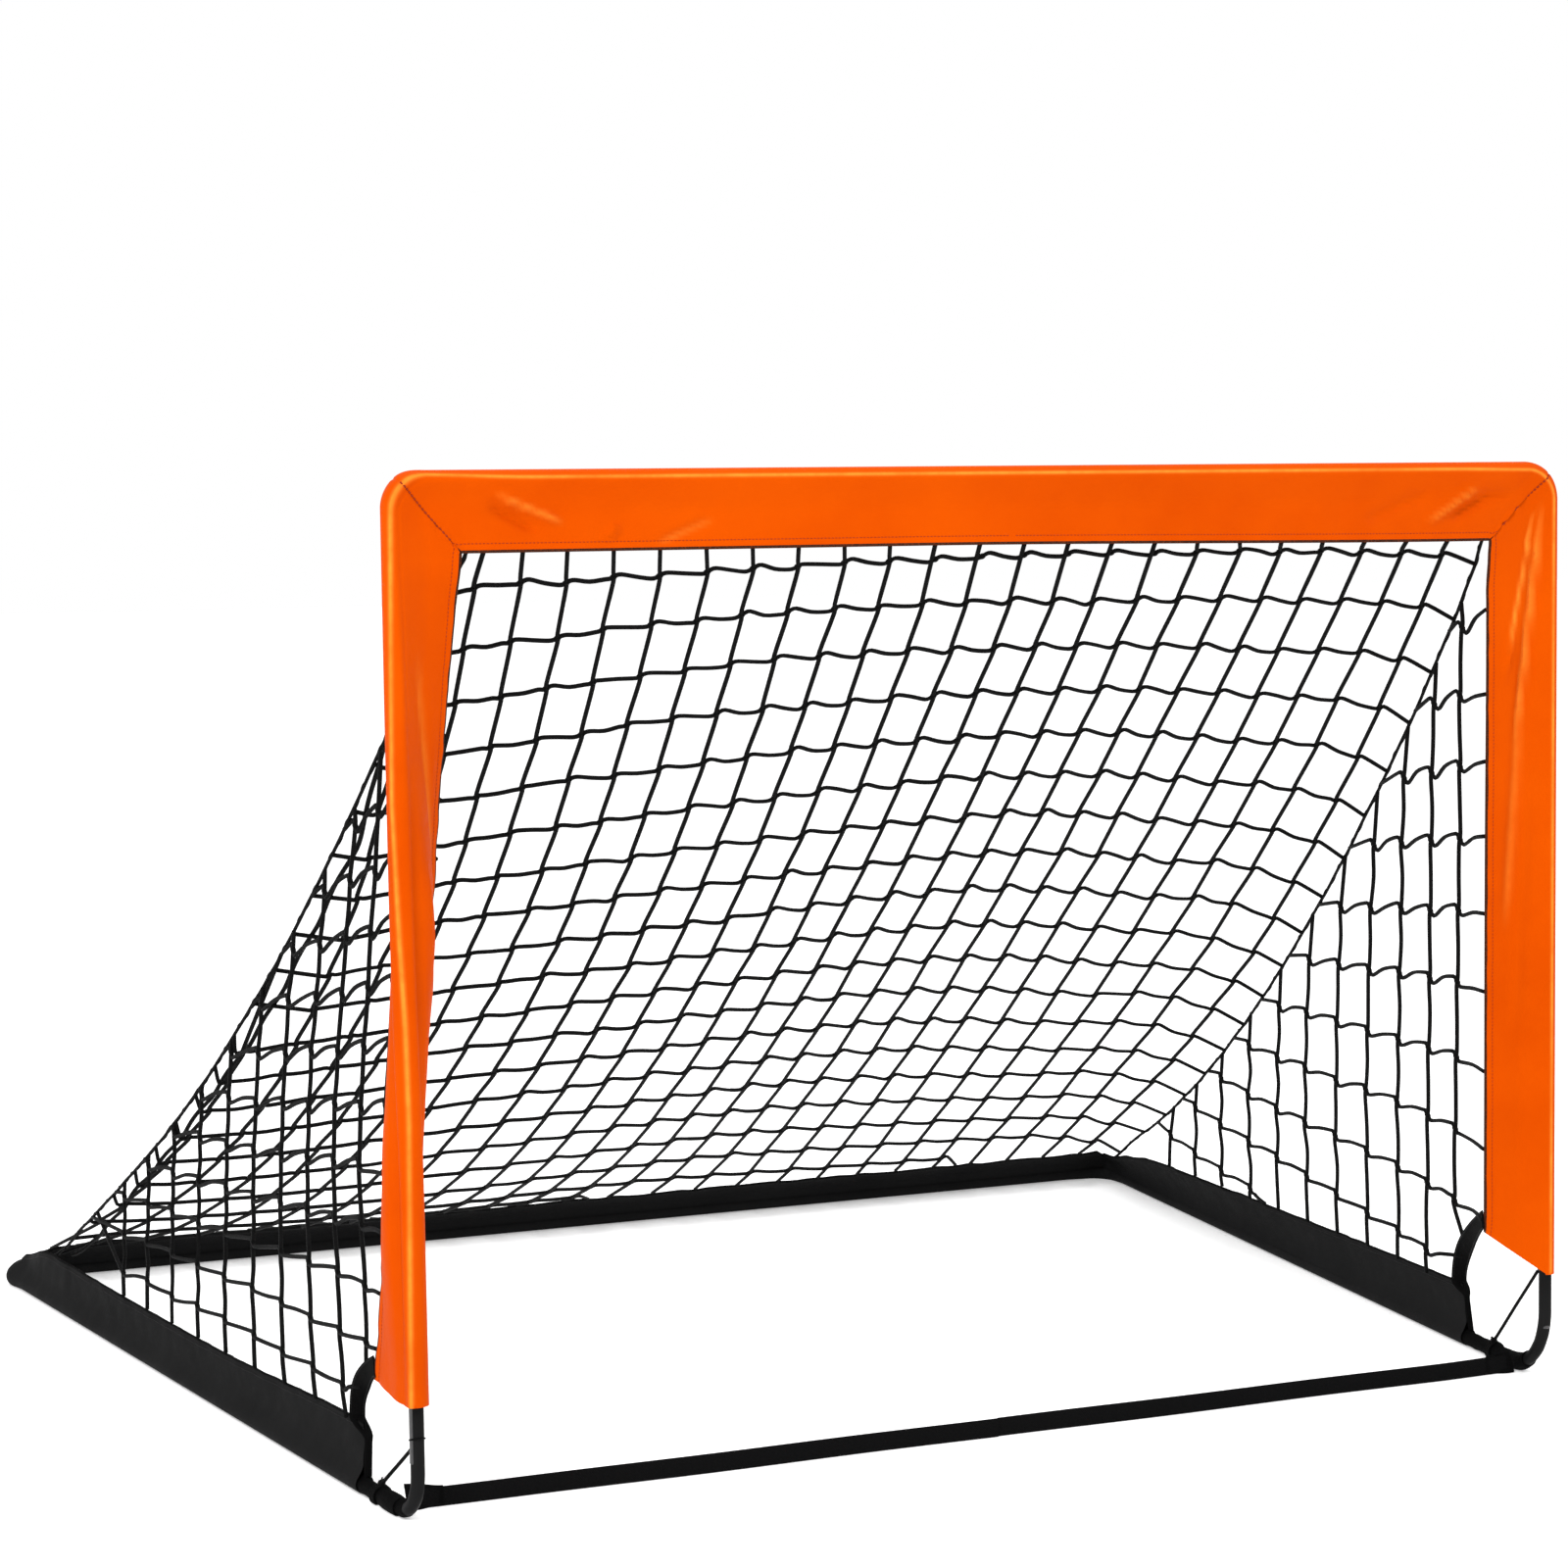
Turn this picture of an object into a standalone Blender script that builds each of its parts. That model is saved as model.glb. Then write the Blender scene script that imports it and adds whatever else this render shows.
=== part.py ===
# Portable soccer goal: sprung-pole frame in fabric sleeves, netting on three sides,
# folding at the middle of the crossbar and of the rear rail.
# Built in metres, +Z up, mouth facing -Y.  The geometry is written in working
# coordinates (x = 0 on the centre plane, y = 0 on the post axes, z = 0 on the
# axis of the ground rails) and shifted at the end so that the origin sits under
# the middle of the bounding box, on the ground.
import bpy
import bmesh
import numpy as np
from math import pi, radians, degrees, sin, cos, tan, atan2, sqrt
from mathutils import Vector

# ---------------------------------------------------------------- dimensions
HALF_W = 0.6025        # centre plane to post axis
HALF_REAR = 0.7370     # centre plane to rear corner (rail axes)
DEPTH = 1.1960         # post axis to rear rail axis
H_BAR = 0.9233         # rail axis to crossbar axis
R_POLE = 0.0050        # fibreglass rod
R_TUBE = 0.0065        # rubber elbow, outside
R_BORE = 0.0053        # rubber elbow, inside
TUBE_LAP = 0.030       # how far a rod sits in an elbow
BEND_FRONT = 0.045     # centre-line radius of the bottom front elbows
BEND = 0.030           # centre-line radius of the other elbows
GAP_FOLD = 0.030       # free rubber between rod ends at the fold centres
PIVOT_OFF = 0.0095     # fold pivot off the rod axis at the centres
TOP_PIVOT = 0.0700     # fold pivot below the crossbar axis
ROD_TOP = 0.0934       # top of the post rod below the crossbar axis
RING_R = 0.0091        # fabric sleeve round a rod, outside (corner of polygon)
RING_RI = 0.0083       # the same, inside
RING_N = 16
FLAP_T = 0.0016        # two layers of sleeve fabric
POST_FLAP = 0.060      # post axis to the free edge of its sleeve
BAR_FLAP = 0.063       # crossbar axis to the free edge of its sleeve
BASE_FLAP = 0.062      # ground rail axis to the free edge of its sleeve
GROUND = -0.0076       # ground below the rail axis
BASE_RING_Z = GROUND + RING_R * cos(pi / RING_N)
SLEEVE_FRONT = {-1: 0.142, 1: 0.176}   # start of the black side sleeve along its rail
POST_END = 0.100       # lower end of the post sleeve, at the rod
SLANT = {-1: 0.012, 1: 0.042}          # how much higher its free edge ends
NET_T = 0.0008
ROPE_R = 0.0024
CORD_R = 0.0012
STRAP_Y = 0.0455
STRAP_H = 0.0185
STRAP_T = 0.0014
SEAM_SAG = {-1: 0.120, 1: 0.105}
GAP = 0.0004
SHIFT = (0.0, -0.5979127, -GROUND)     # working coordinates to the part's frame

FLARE = atan2(HALF_REAR - HALF_W, DEPTH)
RAIL_LEN = sqrt(DEPTH ** 2 + (HALF_REAR - HALF_W) ** 2)
TURN_REAR = pi / 2 + FLARE
T_REAR = BEND * tan(TURN_REAR / 2)

# ---------------------------------------------------------------- materials
COLOURS = {
    "fabric_orange": ((0.870, 0.120, 0.004, 1), 0.55, 0.0),
    "fabric_black": ((0.018, 0.018, 0.019, 1), 0.60, 0.0),
    "rod_black": ((0.030, 0.030, 0.032, 1), 0.40, 0.0),
    "rubber_black": ((0.022, 0.022, 0.023, 1), 0.45, 0.0),
    "webbing_black": ((0.012, 0.012, 0.012, 1), 0.80, 0.0),
    "net_black": ((0.010, 0.010, 0.010, 1), 0.85, 0.0),
    "cord_black": ((0.010, 0.010, 0.010, 1), 0.70, 0.0),
}


def clear_scene():
    for ob in list(bpy.data.objects):
        bpy.data.objects.remove(ob, do_unlink=True)


def material(name, kind):
    colour, rough, metal = COLOURS[kind]
    m = bpy.data.materials.new(name)
    m.use_nodes = True
    b = m.node_tree.nodes["Principled BSDF"]
    b.inputs["Base Color"].default_value = colour
    b.inputs["Roughness"].default_value = rough
    b.inputs["Metallic"].default_value = metal
    m.diffuse_color = colour
    return m


def unit(v):
    v = np.asarray(v, float)
    return v / np.linalg.norm(v)


def smooth(x):
    x = np.clip(x, 0.0, 1.0)
    return x * x * (3 - 2 * x)


def make(name, verts, faces, kind, shade=True, angle=40):
    me = bpy.data.meshes.new(name)
    me.from_pydata([tuple(v) for v in verts], [], faces)
    bm = bmesh.new()
    bm.from_mesh(me)
    bmesh.ops.recalc_face_normals(bm, faces=bm.faces)
    if bm.calc_volume(signed=True) < 0:
        bmesh.ops.reverse_faces(bm, faces=bm.faces)
    bm.to_mesh(me)
    bm.free()
    me.materials.append(material(name, kind))
    ob = bpy.data.objects.new(name, me)
    bpy.context.scene.collection.objects.link(ob)
    ob.location = Vector(SHIFT)
    if shade:
        me.polygons.foreach_set("use_smooth", [True] * len(me.polygons))
        me.set_sharp_from_angle(angle=radians(angle))
    return ob


# ---------------------------------------------------------------- round pieces
def rings(path, radii, n, up=(0, 0, 1)):
    """Rings of n points round a path, kept from twisting by carrying one direction along."""
    path = [np.asarray(p, float) for p in path]
    out, ref = [], None
    for i, p in enumerate(path):
        a = path[max(i - 1, 0)]
        b = path[min(i + 1, len(path) - 1)]
        t = unit(b - a)
        if ref is None:
            ref = np.asarray(up, float)
            if abs(ref @ t) > 0.9:
                ref = np.array([0.0, 1.0, 0.0])
        ref = unit(ref - t * (ref @ t))
        side = np.cross(t, ref)
        ang = [2 * pi * k / n for k in range(n)]
        out.append([p + radii[i] * (cos(q) * ref + sin(q) * side) for q in ang])
    return out


def skin(loops, n, faces, base):
    for i in range(len(loops) - 1):
        for k in range(n):
            a, b = base + i * n + k, base + i * n + (k + 1) % n
            faces.append((a, b, b + n, a + n))


def rod(name, path, r, kind, n=16, chamfer=0.0006):
    """Solid round bar along a path, with broken edges at its ends."""
    path = [np.asarray(p, float) for p in path]
    d0, d1 = unit(path[1] - path[0]), unit(path[-1] - path[-2])
    full = [path[0], path[0] + d0 * chamfer] + path[1:-1] + [path[-1] - d1 * chamfer, path[-1]]
    radii = [r - chamfer] + [r] * (len(full) - 2) + [r - chamfer]
    loops = rings(full, radii, n)
    verts = [v for ring in loops for v in ring]
    faces = []
    skin(loops, n, faces, 0)
    last = (len(loops) - 1) * n
    faces.append(tuple(range(n)))
    faces.append(tuple(last + k for k in range(n)))
    return make(name, verts, faces, kind)


def tube(name, path, ro, ri, kind, n=14):
    """Open-ended tube along a path."""
    outer, inner = rings(path, [ro] * len(path), n), rings(path, [ri] * len(path), n)
    verts = [v for ring in outer for v in ring] + [v for ring in inner for v in ring]
    m = len(outer) * n
    faces = []
    skin(outer, n, faces, 0)
    skin(inner, n, faces, m)
    for i in (0, len(outer) - 1):
        for k in range(n):
            a, b = i * n + k, i * n + (k + 1) % n
            faces.append((a, b, m + b, m + a))
    return make(name, verts, faces, kind)


def arc(centre, a, b, r, t0, t1, steps):
    """Points on an arc: centre + r (cos t a + sin t b)."""
    c, a, b = (np.asarray(v, float) for v in (centre, a, b))
    return [c + r * (cos(t) * a + sin(t) * b) for t in np.linspace(t0, t1, steps)]


# ---------------------------------------------------------------- sleeves with a flap
def sleeve(name, stations, kind, ro=RING_R, ri=RING_RI, thick=FLAP_T):
    """Fabric sleeve: a ring round the rod and a double flap running off it.
    A station is (ring centre, path tangent, neck direction, flap tip)."""
    n = RING_N
    outer, inner, flaps = [], [], []
    for c, t, n0, tip in stations:
        c, t, tip = np.asarray(c, float), unit(t), np.asarray(tip, float)
        n0 = unit(np.asarray(n0, float) - t * (np.asarray(n0, float) @ t))
        b0 = np.cross(t, n0)
        ang = [(k + 0.5) * 2 * pi / n for k in range(n)]
        outer.append([c + ro * (cos(q) * n0 + sin(q) * b0) for q in ang])
        inner.append([c + ri * (cos(q) * n0 + sin(q) * b0) for q in ang])
        neck = c + ro * cos(pi / n) * n0
        start = neck + 0.006 * n0
        side = []
        for f in (0.0, 0.5, 1.0):
            q = start + (tip - start) * f
            d = unit(unit(tip - start) * (0.3 + f) + n0 * (1.0 - f) * 0.7)
            b = unit(np.cross(t, d))
            if b @ b0 < 0:
                b = -b
            side.append((q - b * thick / 2, q + b * thick / 2))
        flaps.append([s[0] for s in side] + [s[1] for s in reversed(side)])
    lo = n + 6
    verts, faces = [], []
    for o, f in zip(outer, flaps):
        verts += o + f
    m = len(verts)
    for i in inner:
        verts += i
    for i in range(len(stations) - 1):
        for k in range(lo):
            a, b = i * lo + k, i * lo + (k + 1) % lo
            faces.append((a, b, b + lo, a + lo))
        for k in range(n):
            a, b = m + i * n + k, m + i * n + (k + 1) % n
            faces.append((a, b, b + n, a + n))
    for i in (0, len(stations) - 1):
        o, q = i * lo, m + i * n
        for k in range(n):
            k2 = (k + 1) % n
            faces.append((o + k, o + k2, q + k2, q + k))
        f = o + n
        faces.append((o + n - 1, f, f + 5, o))
        faces.append((f, f + 1, f + 4, f + 5))
        faces.append((f + 1, f + 2, f + 3, f + 4))
    return make(name, verts, faces, kind)


def post_psi(side, z):
    """How far the post's flap has turned from pointing inboard towards the rear."""
    if side < 0:
        return radians(2 + 50 * smooth((0.85 - z) / 0.42) + 54 * smooth((0.47 - z) / 0.30))
    return radians(4 + 14 * smooth((0.80 - z) / 0.5))


def post_tip(side, z):
    psi = post_psi(side, z)
    return np.array([side * (HALF_W - POST_FLAP * cos(psi)), POST_FLAP * sin(psi), z])


def inner_corner(side):
    return np.array([side * (HALF_W - POST_FLAP), 0.0, H_BAR - BAR_FLAP])


def post_sleeve_stations(side):
    st = []
    corner = inner_corner(side)
    axis = lambda z: np.array([side * HALF_W, 0.0, z])
    zs = [POST_END] + list(np.linspace(0.165, corner[2] - 0.001, 9))
    for i, z in enumerate(zs):
        tip = post_tip(side, z + (SLANT[side] if i == 0 else 0.0))
        psi = post_psi(side, z)
        if i == len(zs) - 1:
            tip = corner - np.array([0, 0, 0.001])
        n0 = np.array([-side * cos(psi), sin(psi), 0.0])
        st.append((axis(z), (0, 0, 1), n0, tip))
    centre = np.array([side * (HALF_W - BEND), 0.0, H_BAR - BEND])
    mid = centre + BEND * unit((side, 0, 1))
    for j, q in enumerate((0.0, pi / 8, pi / 4)):
        c = centre + BEND * (cos(q) * np.array([side, 0, 0]) + sin(q) * np.array([0, 0, 1.0]))
        t = -sin(q) * np.array([side, 0, 0]) + cos(q) * np.array([0, 0, 1.0])
        tip = corner + (mid - corner) * 0.02 * (j + 1)
        if j == 2:
            c, tip = c - t * GAP / 2, tip - t * GAP / 2
        st.append((c, t, np.array([-side * cos(q), 0.0, -sin(q)]), tip))
    return st


def bar_sleeve_stations(side):
    """From the mitre seam to the fold at the middle of the crossbar."""
    st = []
    corner = inner_corner(side)
    centre = np.array([side * (HALF_W - BEND), 0.0, H_BAR - BEND])
    mid = centre + BEND * unit((side, 0, 1))
    for j, q in enumerate((pi / 4, 3 * pi / 8, pi / 2)):
        c = centre + BEND * (cos(q) * np.array([side, 0, 0]) + sin(q) * np.array([0, 0, 1.0]))
        t = -sin(q) * np.array([side, 0, 0]) + cos(q) * np.array([0, 0, 1.0])
        tip = corner + (mid - corner) * 0.02 * (3 - j)
        if j == 0:
            c, tip = c + t * GAP / 2, tip + t * GAP / 2
        st.append((c, t, np.array([-side * cos(q), 0.0, -sin(q)]), tip))
    for x in list(np.linspace(abs(corner[0]) - 0.001, 0.12, 3)) + [GAP / 2]:
        c = np.array([side * x, 0.0, H_BAR])
        st.append((c, (-side, 0, 0), (0, 0, -1), np.array([side * x, 0.0, H_BAR - BAR_FLAP])))
    return st


def rail_point(side, s, z=0.0):
    return np.array([side * (HALF_W + s * sin(FLARE)), s * cos(FLARE), z])


def rail_dir(side):
    return np.array([side * sin(FLARE), cos(FLARE), 0.0])


def rail_in(side):
    return np.array([-side * cos(FLARE), sin(FLARE), 0.0])


def side_tip(side, s):
    u = s / RAIL_LEN
    if side < 0:
        z = 0.0500 + 0.010 * np.exp(-((s - 0.14) / 0.22) ** 2) + 0.003 * smooth((u - 0.6) / 0.4)
        lean = 0.002
    else:
        beta = radians(2 + 31 * u)
        z, lean = BASE_FLAP * cos(beta), BASE_FLAP * sin(beta)
    return rail_point(side, s, z) + rail_in(side) * lean


REAR_TIP = np.array([0.0, DEPTH - 0.051, 0.036])


def rear_corner_tip(side):
    return np.array([side * (HALF_REAR - 0.034), DEPTH - 0.036, 0.046])


def side_sleeve_stations(side):
    st = []
    d = rail_dir(side)
    s_end = RAIL_LEN - T_REAR
    for s in np.linspace(SLEEVE_FRONT[side], s_end, 8):
        c = rail_point(side, s, BASE_RING_Z)
        tip = side_tip(side, s)
        if s > s_end - 0.01:
            tip = tip + (rear_corner_tip(side) - tip) * 0.35
        st.append((c, d, (0, 0, 1), tip))
    turn = TURN_REAR / 2
    centre = rail_point(side, s_end, BASE_RING_Z) + rail_in(side) * BEND
    for j, q in enumerate((turn / 2, turn)):
        c = centre - BEND * cos(q) * rail_in(side) + BEND * sin(q) * d
        t = cos(q) * d + sin(q) * rail_in(side)
        tip = st[7][3] + (rear_corner_tip(side) - st[7][3]) * (0.5 if j == 0 else 1.0)
        if j == 1:
            c, tip = c - t * GAP / 2, tip - t * GAP / 2
        st.append((c, t, (0, 0, 1), tip))
    return st


def rear_sleeve_stations(side):
    st = []
    d = rail_dir(side)
    s_end = RAIL_LEN - T_REAR
    centre = rail_point(side, s_end, BASE_RING_Z) + rail_in(side) * BEND
    x_t = HALF_REAR - T_REAR
    first = np.array([side * (x_t - 0.010), REAR_TIP[1] - 0.001, REAR_TIP[2] + 0.004])
    for j, q in enumerate((TURN_REAR / 2, TURN_REAR * 0.75, TURN_REAR)):
        c = centre - BEND * cos(q) * rail_in(side) + BEND * sin(q) * d
        t = cos(q) * d + sin(q) * rail_in(side)
        tip = rear_corner_tip(side) + (first - rear_corner_tip(side)) * (0.0, 0.55, 1.0)[j]
        if j == 0:
            c, tip = c + t * GAP / 2, tip + t * GAP / 2
        st.append((c, t, (0, -0.45 * j / 2, 1), tip))
    for x in list(np.linspace(x_t - 0.05, 0.15, 4)) + [GAP / 2]:
        c = np.array([side * x, DEPTH, BASE_RING_Z])
        st.append((c, (-side, 0, 0), (0, 0, 1) if x < 0.1 else (0, -0.45, 1),
                   np.array([side * x, REAR_TIP[1], REAR_TIP[2]])))
    # the ring keeps a flat side on the ground along the straight part
    return [(c, t, (0, 0, 1), tip) for c, t, n0, tip in st]


# ---------------------------------------------------------------- netting
def seam(side, y):
    """Rope seam between side and back netting, from the crossbar to the rear corner."""
    t = y / 1.17
    x = (0.5450 + 0.1573 * y) if side < 0 else (0.5310 + 0.1705 * y)
    z = 0.8530 - 0.7050 * y - SEAM_SAG[side] * 4 * t * (1 - t)
    return np.array([side * x, y, z])


def sag(w):
    """How far the back netting hangs below a straight line, across the goal."""
    a = 0.048 + 0.120 * (0.5 + 0.5 * np.cos(pi * np.clip(abs(w - 0.21) / 0.6, 0, 1)))
    return a + 0.053 * np.clip((w - 0.88) / 0.12, 0, 1) ** 2


Y_NET0, Y_NET1 = 0.002, 1.1420


def back_net_point(x, y):
    xl, xr = seam(-1, min(y, 1.12))[0], seam(1, min(y, 1.12))[0]
    w = (x - xl) / (xr - xl)
    t = (y - Y_NET0) / (Y_NET1 - Y_NET0)
    z = 0.8590 + (0.0370 - 0.8590) * t - float(sag(w)) * 4 * t * (1 - t)
    return np.array([x, y, z])


def panel(name, grid, thick, kind):
    """Closed sheet of even thickness on a grid of points."""
    g = np.asarray(grid, float)
    nu, nv = g.shape[:2]
    du = np.gradient(g, axis=0)
    dv = np.gradient(g, axis=1)
    nrm = np.cross(du, dv)
    nrm /= np.linalg.norm(nrm, axis=2)[..., None]
    verts = list((g + nrm * thick / 2).reshape(-1, 3)) + list((g - nrm * thick / 2).reshape(-1, 3))
    m = nu * nv
    idx = lambda i, j: i * nv + j
    faces = []
    for i in range(nu - 1):
        for j in range(nv - 1):
            a, b, c, d = idx(i, j), idx(i + 1, j), idx(i + 1, j + 1), idx(i, j + 1)
            faces.append((a, b, c, d))
            faces.append((a + m, d + m, c + m, b + m))
    edge = ([idx(i, 0) for i in range(nu)] + [idx(nu - 1, j) for j in range(1, nv)]
            + [idx(i, nv - 1) for i in range(nu - 2, -1, -1)] + [idx(0, j) for j in range(nv - 2, 0, -1)])
    for k in range(len(edge)):
        a, b = edge[k], edge[(k + 1) % len(edge)]
        faces.append((a, b, b + m, a + m))
    return make(name, verts, faces, kind)


def back_net_grid(side, nu=9, nv=13):
    g = []
    for i in range(nu):
        u = i / (nu - 1)
        row = []
        for j in range(nv):
            x_edge_ref = 0.70
            y1 = Y_NET1 - 0.075 * float(smooth(((1 - u) * x_edge_ref - 0.57) / 0.13))
            y = Y_NET0 + (y1 - Y_NET0) * j / (nv - 1)
            xe = abs(seam(side, y)[0]) - 0.0050
            x = side * (xe * (1 - u) + GAP / 2 * u)
            row.append(back_net_point(x, y))
        g.append(row)
    g = np.array(g)
    return g


BAND_W = 0.0145


def band_point(side, f):
    """Centre line of the webbing edge: a quarter ellipse from the foot of the post's flap to the top of the side sleeve's end."""
    z_a = POST_END + SLANT[side] + 0.0125
    a = post_tip(side, z_a)
    psi = post_psi(side, z_a)
    a = a + np.array([-side * cos(psi), sin(psi), 0]) * 0.0010
    s_b = SLEEVE_FRONT[side] - 0.0005 - BAND_W / 2
    b = side_tip(side, s_b)
    q = f * pi / 2
    return np.array([a[0] + (b[0] - a[0]) * sin(q), a[1] + (b[1] - a[1]) * sin(q), b[2] + (a[2] - b[2]) * cos(q)])


def band_out(side, f):
    """Away from the bottom corner, square to the band, in its own plane."""
    t = unit(band_point(side, min(f + 0.01, 1)) - band_point(side, max(f - 0.01, 0)))
    return unit(np.cross(np.array([1.0, 0, 0]), t)) * 1.0


def side_net_grid(side, nu=13, nv=9):
    """Column 0 follows the post's flap, the last column is short, at the rear corner."""
    z0 = POST_END + SLANT[side] + 0.0125 + BAND_W / 2 + 0.003
    z1 = H_BAR - BAR_FLAP - 0.018
    s1 = RAIL_LEN - 0.130
    g = []
    out = 0.0022
    front = [post_tip(side, z0 + (z1 - z0) * j / (nv - 1)) for j in range(nv)]
    for j, p in enumerate(front):
        psi = post_psi(side, p[2])
        front[j] = p + np.array([-side * cos(psi), sin(psi), 0]) * out
    k = 4
    for i in range(nu):
        u = i / (nu - 1)
        if i <= k:
            o = band_out(side, i / k)
            o = o if o[1] + o[2] > 0 else -o
            b = band_point(side, i / k) + o * (BAND_W / 2 + 0.003)
            if i == 0:
                b = front[0]
        else:
            f = (i - k) / (nu - 1 - k)
            b = side_tip(side, SLEEVE_FRONT[side] + 0.006 + (s1 - SLEEVE_FRONT[side] - 0.006) * f) + np.array([0, 0, 0.0032])
        yt = 0.030 + (1.035 - 0.030) * u ** 0.9
        top = seam(side, yt) + np.array([0.0, -0.0045, -0.0065])
        if i == 0:
            top = front[-1]
        row = []
        for j in range(nv):
            v = j / (nv - 1)
            p = b + (top - b) * v
            p = p + (front[j] - (front[0] + (front[-1] - front[0]) * v)) * (1 - u) ** 5
            row.append(p)
        g.append(row)
    return np.array(g)


# ---------------------------------------------------------------- small trim
def strip(name, path, widths, across, thick, kind):
    """Flat tape: path points, a width direction for each, closed solid."""
    g = []
    for p, w, a in zip(path, widths, across):
        p, a = np.asarray(p, float), unit(a)
        g.append([p - a * w / 2, p + a * w / 2])
    return panel(name, g, thick, kind)


def build():
    clear_scene()
    for side, tag in ((-1, "left"), (1, "right")):
        d, inn = rail_dir(side), rail_in(side)
        # rods
        rod("post_pole_" + tag, [(side * HALF_W, 0, BEND_FRONT + 0.003), (side * HALF_W, 0, H_BAR - ROD_TOP)],
            R_POLE, "rod_black")
        rod("side_pole_" + tag, [rail_point(side, BEND_FRONT + 0.003), rail_point(side, RAIL_LEN - T_REAR - 0.003)],
            R_POLE, "rod_black")
        rod("rear_pole_" + tag, [(side * (HALF_REAR - T_REAR - 0.003), DEPTH, 0), (side * GAP_FOLD / 2, DEPTH, 0)],
            R_POLE, "rod_black")
        rod("crossbar_pole_" + tag, [(side * (HALF_W - BEND - 0.003), 0, H_BAR), (side * GAP_FOLD / 2, 0, H_BAR)],
            R_POLE, "rod_black")
        # bottom front elbow: down the post, round, and along the side rail
        c = rail_point(side, BEND_FRONT, BEND_FRONT)
        path = [np.array([side * HALF_W, 0, 0.132]), np.array([side * HALF_W, 0, 0.088])]
        path += arc(c, -d, (0, 0, -1), BEND_FRONT, 0, pi / 2, 9)
        path += [rail_point(side, 0.086)]
        tube("elbow_front_" + tag, path, R_TUBE, R_BORE, "rubber_black")
        # elbow at the top of the post
        c = np.array([side * (HALF_W - BEND), 0, H_BAR - BEND])
        path = [np.array([side * HALF_W, 0, H_BAR - ROD_TOP - TUBE_LAP]), np.array([side * HALF_W, 0, H_BAR - ROD_TOP])]
        path += arc(c, (side, 0, 0), (0, 0, 1), BEND, 0, pi / 2, 8)
        path += [np.array([side * (HALF_W - BEND - TUBE_LAP), 0, H_BAR])]
        tube("elbow_top_" + tag, path, R_TUBE, R_BORE, "rubber_black")
        # elbow at the rear corner
        s_end = RAIL_LEN - T_REAR
        c = rail_point(side, s_end) + inn * BEND
        path = [rail_point(side, s_end - TUBE_LAP)]
        path += arc(c, -inn, d, BEND, 0, TURN_REAR, 9)
        path += [np.array([side * (HALF_REAR - T_REAR - TUBE_LAP), DEPTH, 0])]
        tube("elbow_rear_" + tag, path, R_TUBE, R_BORE, "rubber_black")
        # fabric sleeves
        sleeve("post_sleeve_" + tag, post_sleeve_stations(side), "fabric_orange")
        sleeve("crossbar_sleeve_" + tag, bar_sleeve_stations(side), "fabric_orange")
        sleeve("side_sleeve_" + tag, side_sleeve_stations(side), "fabric_black")
        sleeve("rear_sleeve_" + tag, rear_sleeve_stations(side), "fabric_black")
        # woven cover over the elbow's foot, from the bend to the side sleeve
        n = RING_N
        s0, s1 = BEND_FRONT + 0.001, SLEEVE_FRONT[side] - 0.0005
        loops = []
        for r in (0.0076 / cos(pi / n), 0.0068 / cos(pi / n)):
            for s in (s0, (s0 + s1) / 2, s1):
                b0 = np.cross(d, (0, 0, 1.0))
                loops.append([rail_point(side, s) + r * (cos(q) * np.array([0, 0, 1.0]) + sin(q) * b0)
                              for q in [(k + 0.5) * 2 * pi / n for k in range(n)]])
        verts = [v for ring in loops for v in ring]
        faces = []
        skin(loops[:3], n, faces, 0)
        skin(loops[3:], n, faces, 3 * n)
        for i in (0, 2):
            for k in range(n):
                k2 = (k + 1) % n
                faces.append((i * n + k, i * n + k2, (i + 3) * n + k2, (i + 3) * n + k))
        make("corner_cover_" + tag, verts, faces, "webbing_black")
        # front strap, standing on edge on the ground
        x_end = HALF_W - 0.0076 + 0.0046 - 0.0035
        xs = [x_end, x_end - 0.03, 0.30, GAP / 2]
        zc = GROUND + 0.0002 + STRAP_H / 2
        ys = [STRAP_Y + 0.012, STRAP_Y + 0.0015, STRAP_Y, STRAP_Y - 0.001]
        strip("front_strap_" + tag, [(side * (x - 0.0062 * (i == 0)), y, zc) for i, (x, y) in enumerate(zip(xs, ys))],
              [STRAP_H] * 4, [(0, 0, 1)] * 4, STRAP_T, "webbing_black")
        # webbing edge of the side netting, and on down the end of the side sleeve
        pts = [band_point(side, f) for f in np.linspace(0, 1, 7)]
        across = [band_out(side, f) for f in np.linspace(0, 1, 7)]
        foot = rail_point(side, SLEEVE_FRONT[side] - 0.0005 - BAND_W / 2, 0.0125)
        for f in (0.5, 1.0):
            pts.append(pts[6] + (foot - pts[6]) * f)
            across.append(across[6])
        strip("web_band_" + tag, pts, [BAND_W] * 9, across, 0.0016, "webbing_black")
        # stay cord across the inside of the bottom corner
        a = np.array([side * (HALF_W - 0.004), 0.0140, POST_END - 0.003])
        b = rail_point(side, 0.108, 0.0094) + inn * 0.001
        rod("stay_cord_" + tag, [a, a + (b - a) * 0.5 + np.array([0, 0.001, -0.001]), b], CORD_R, "cord_black", n=8, chamfer=0.0003)
        # netting
        panel("back_net_" + tag, back_net_grid(side), NET_T, "net_black")
        panel("side_net_" + tag, side_net_grid(side), NET_T, "net_black")
        ys = np.linspace(0.016, 1.072, 13)
        rod("seam_rope_" + tag, [seam(side, y) for y in ys], ROPE_R, "net_black", n=8, chamfer=0.0004)
    for name, y, z in (("coupler_rear", DEPTH, 0.0), ("coupler_crossbar", 0.0, H_BAR)):
        x = GAP_FOLD / 2 + TUBE_LAP
        tube(name, [(-x, y, z), (-GAP_FOLD / 2, y, z), (0, y, z), (GAP_FOLD / 2, y, z), (x, y, z)],
             R_TUBE, R_BORE, "rubber_black")


build()
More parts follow.
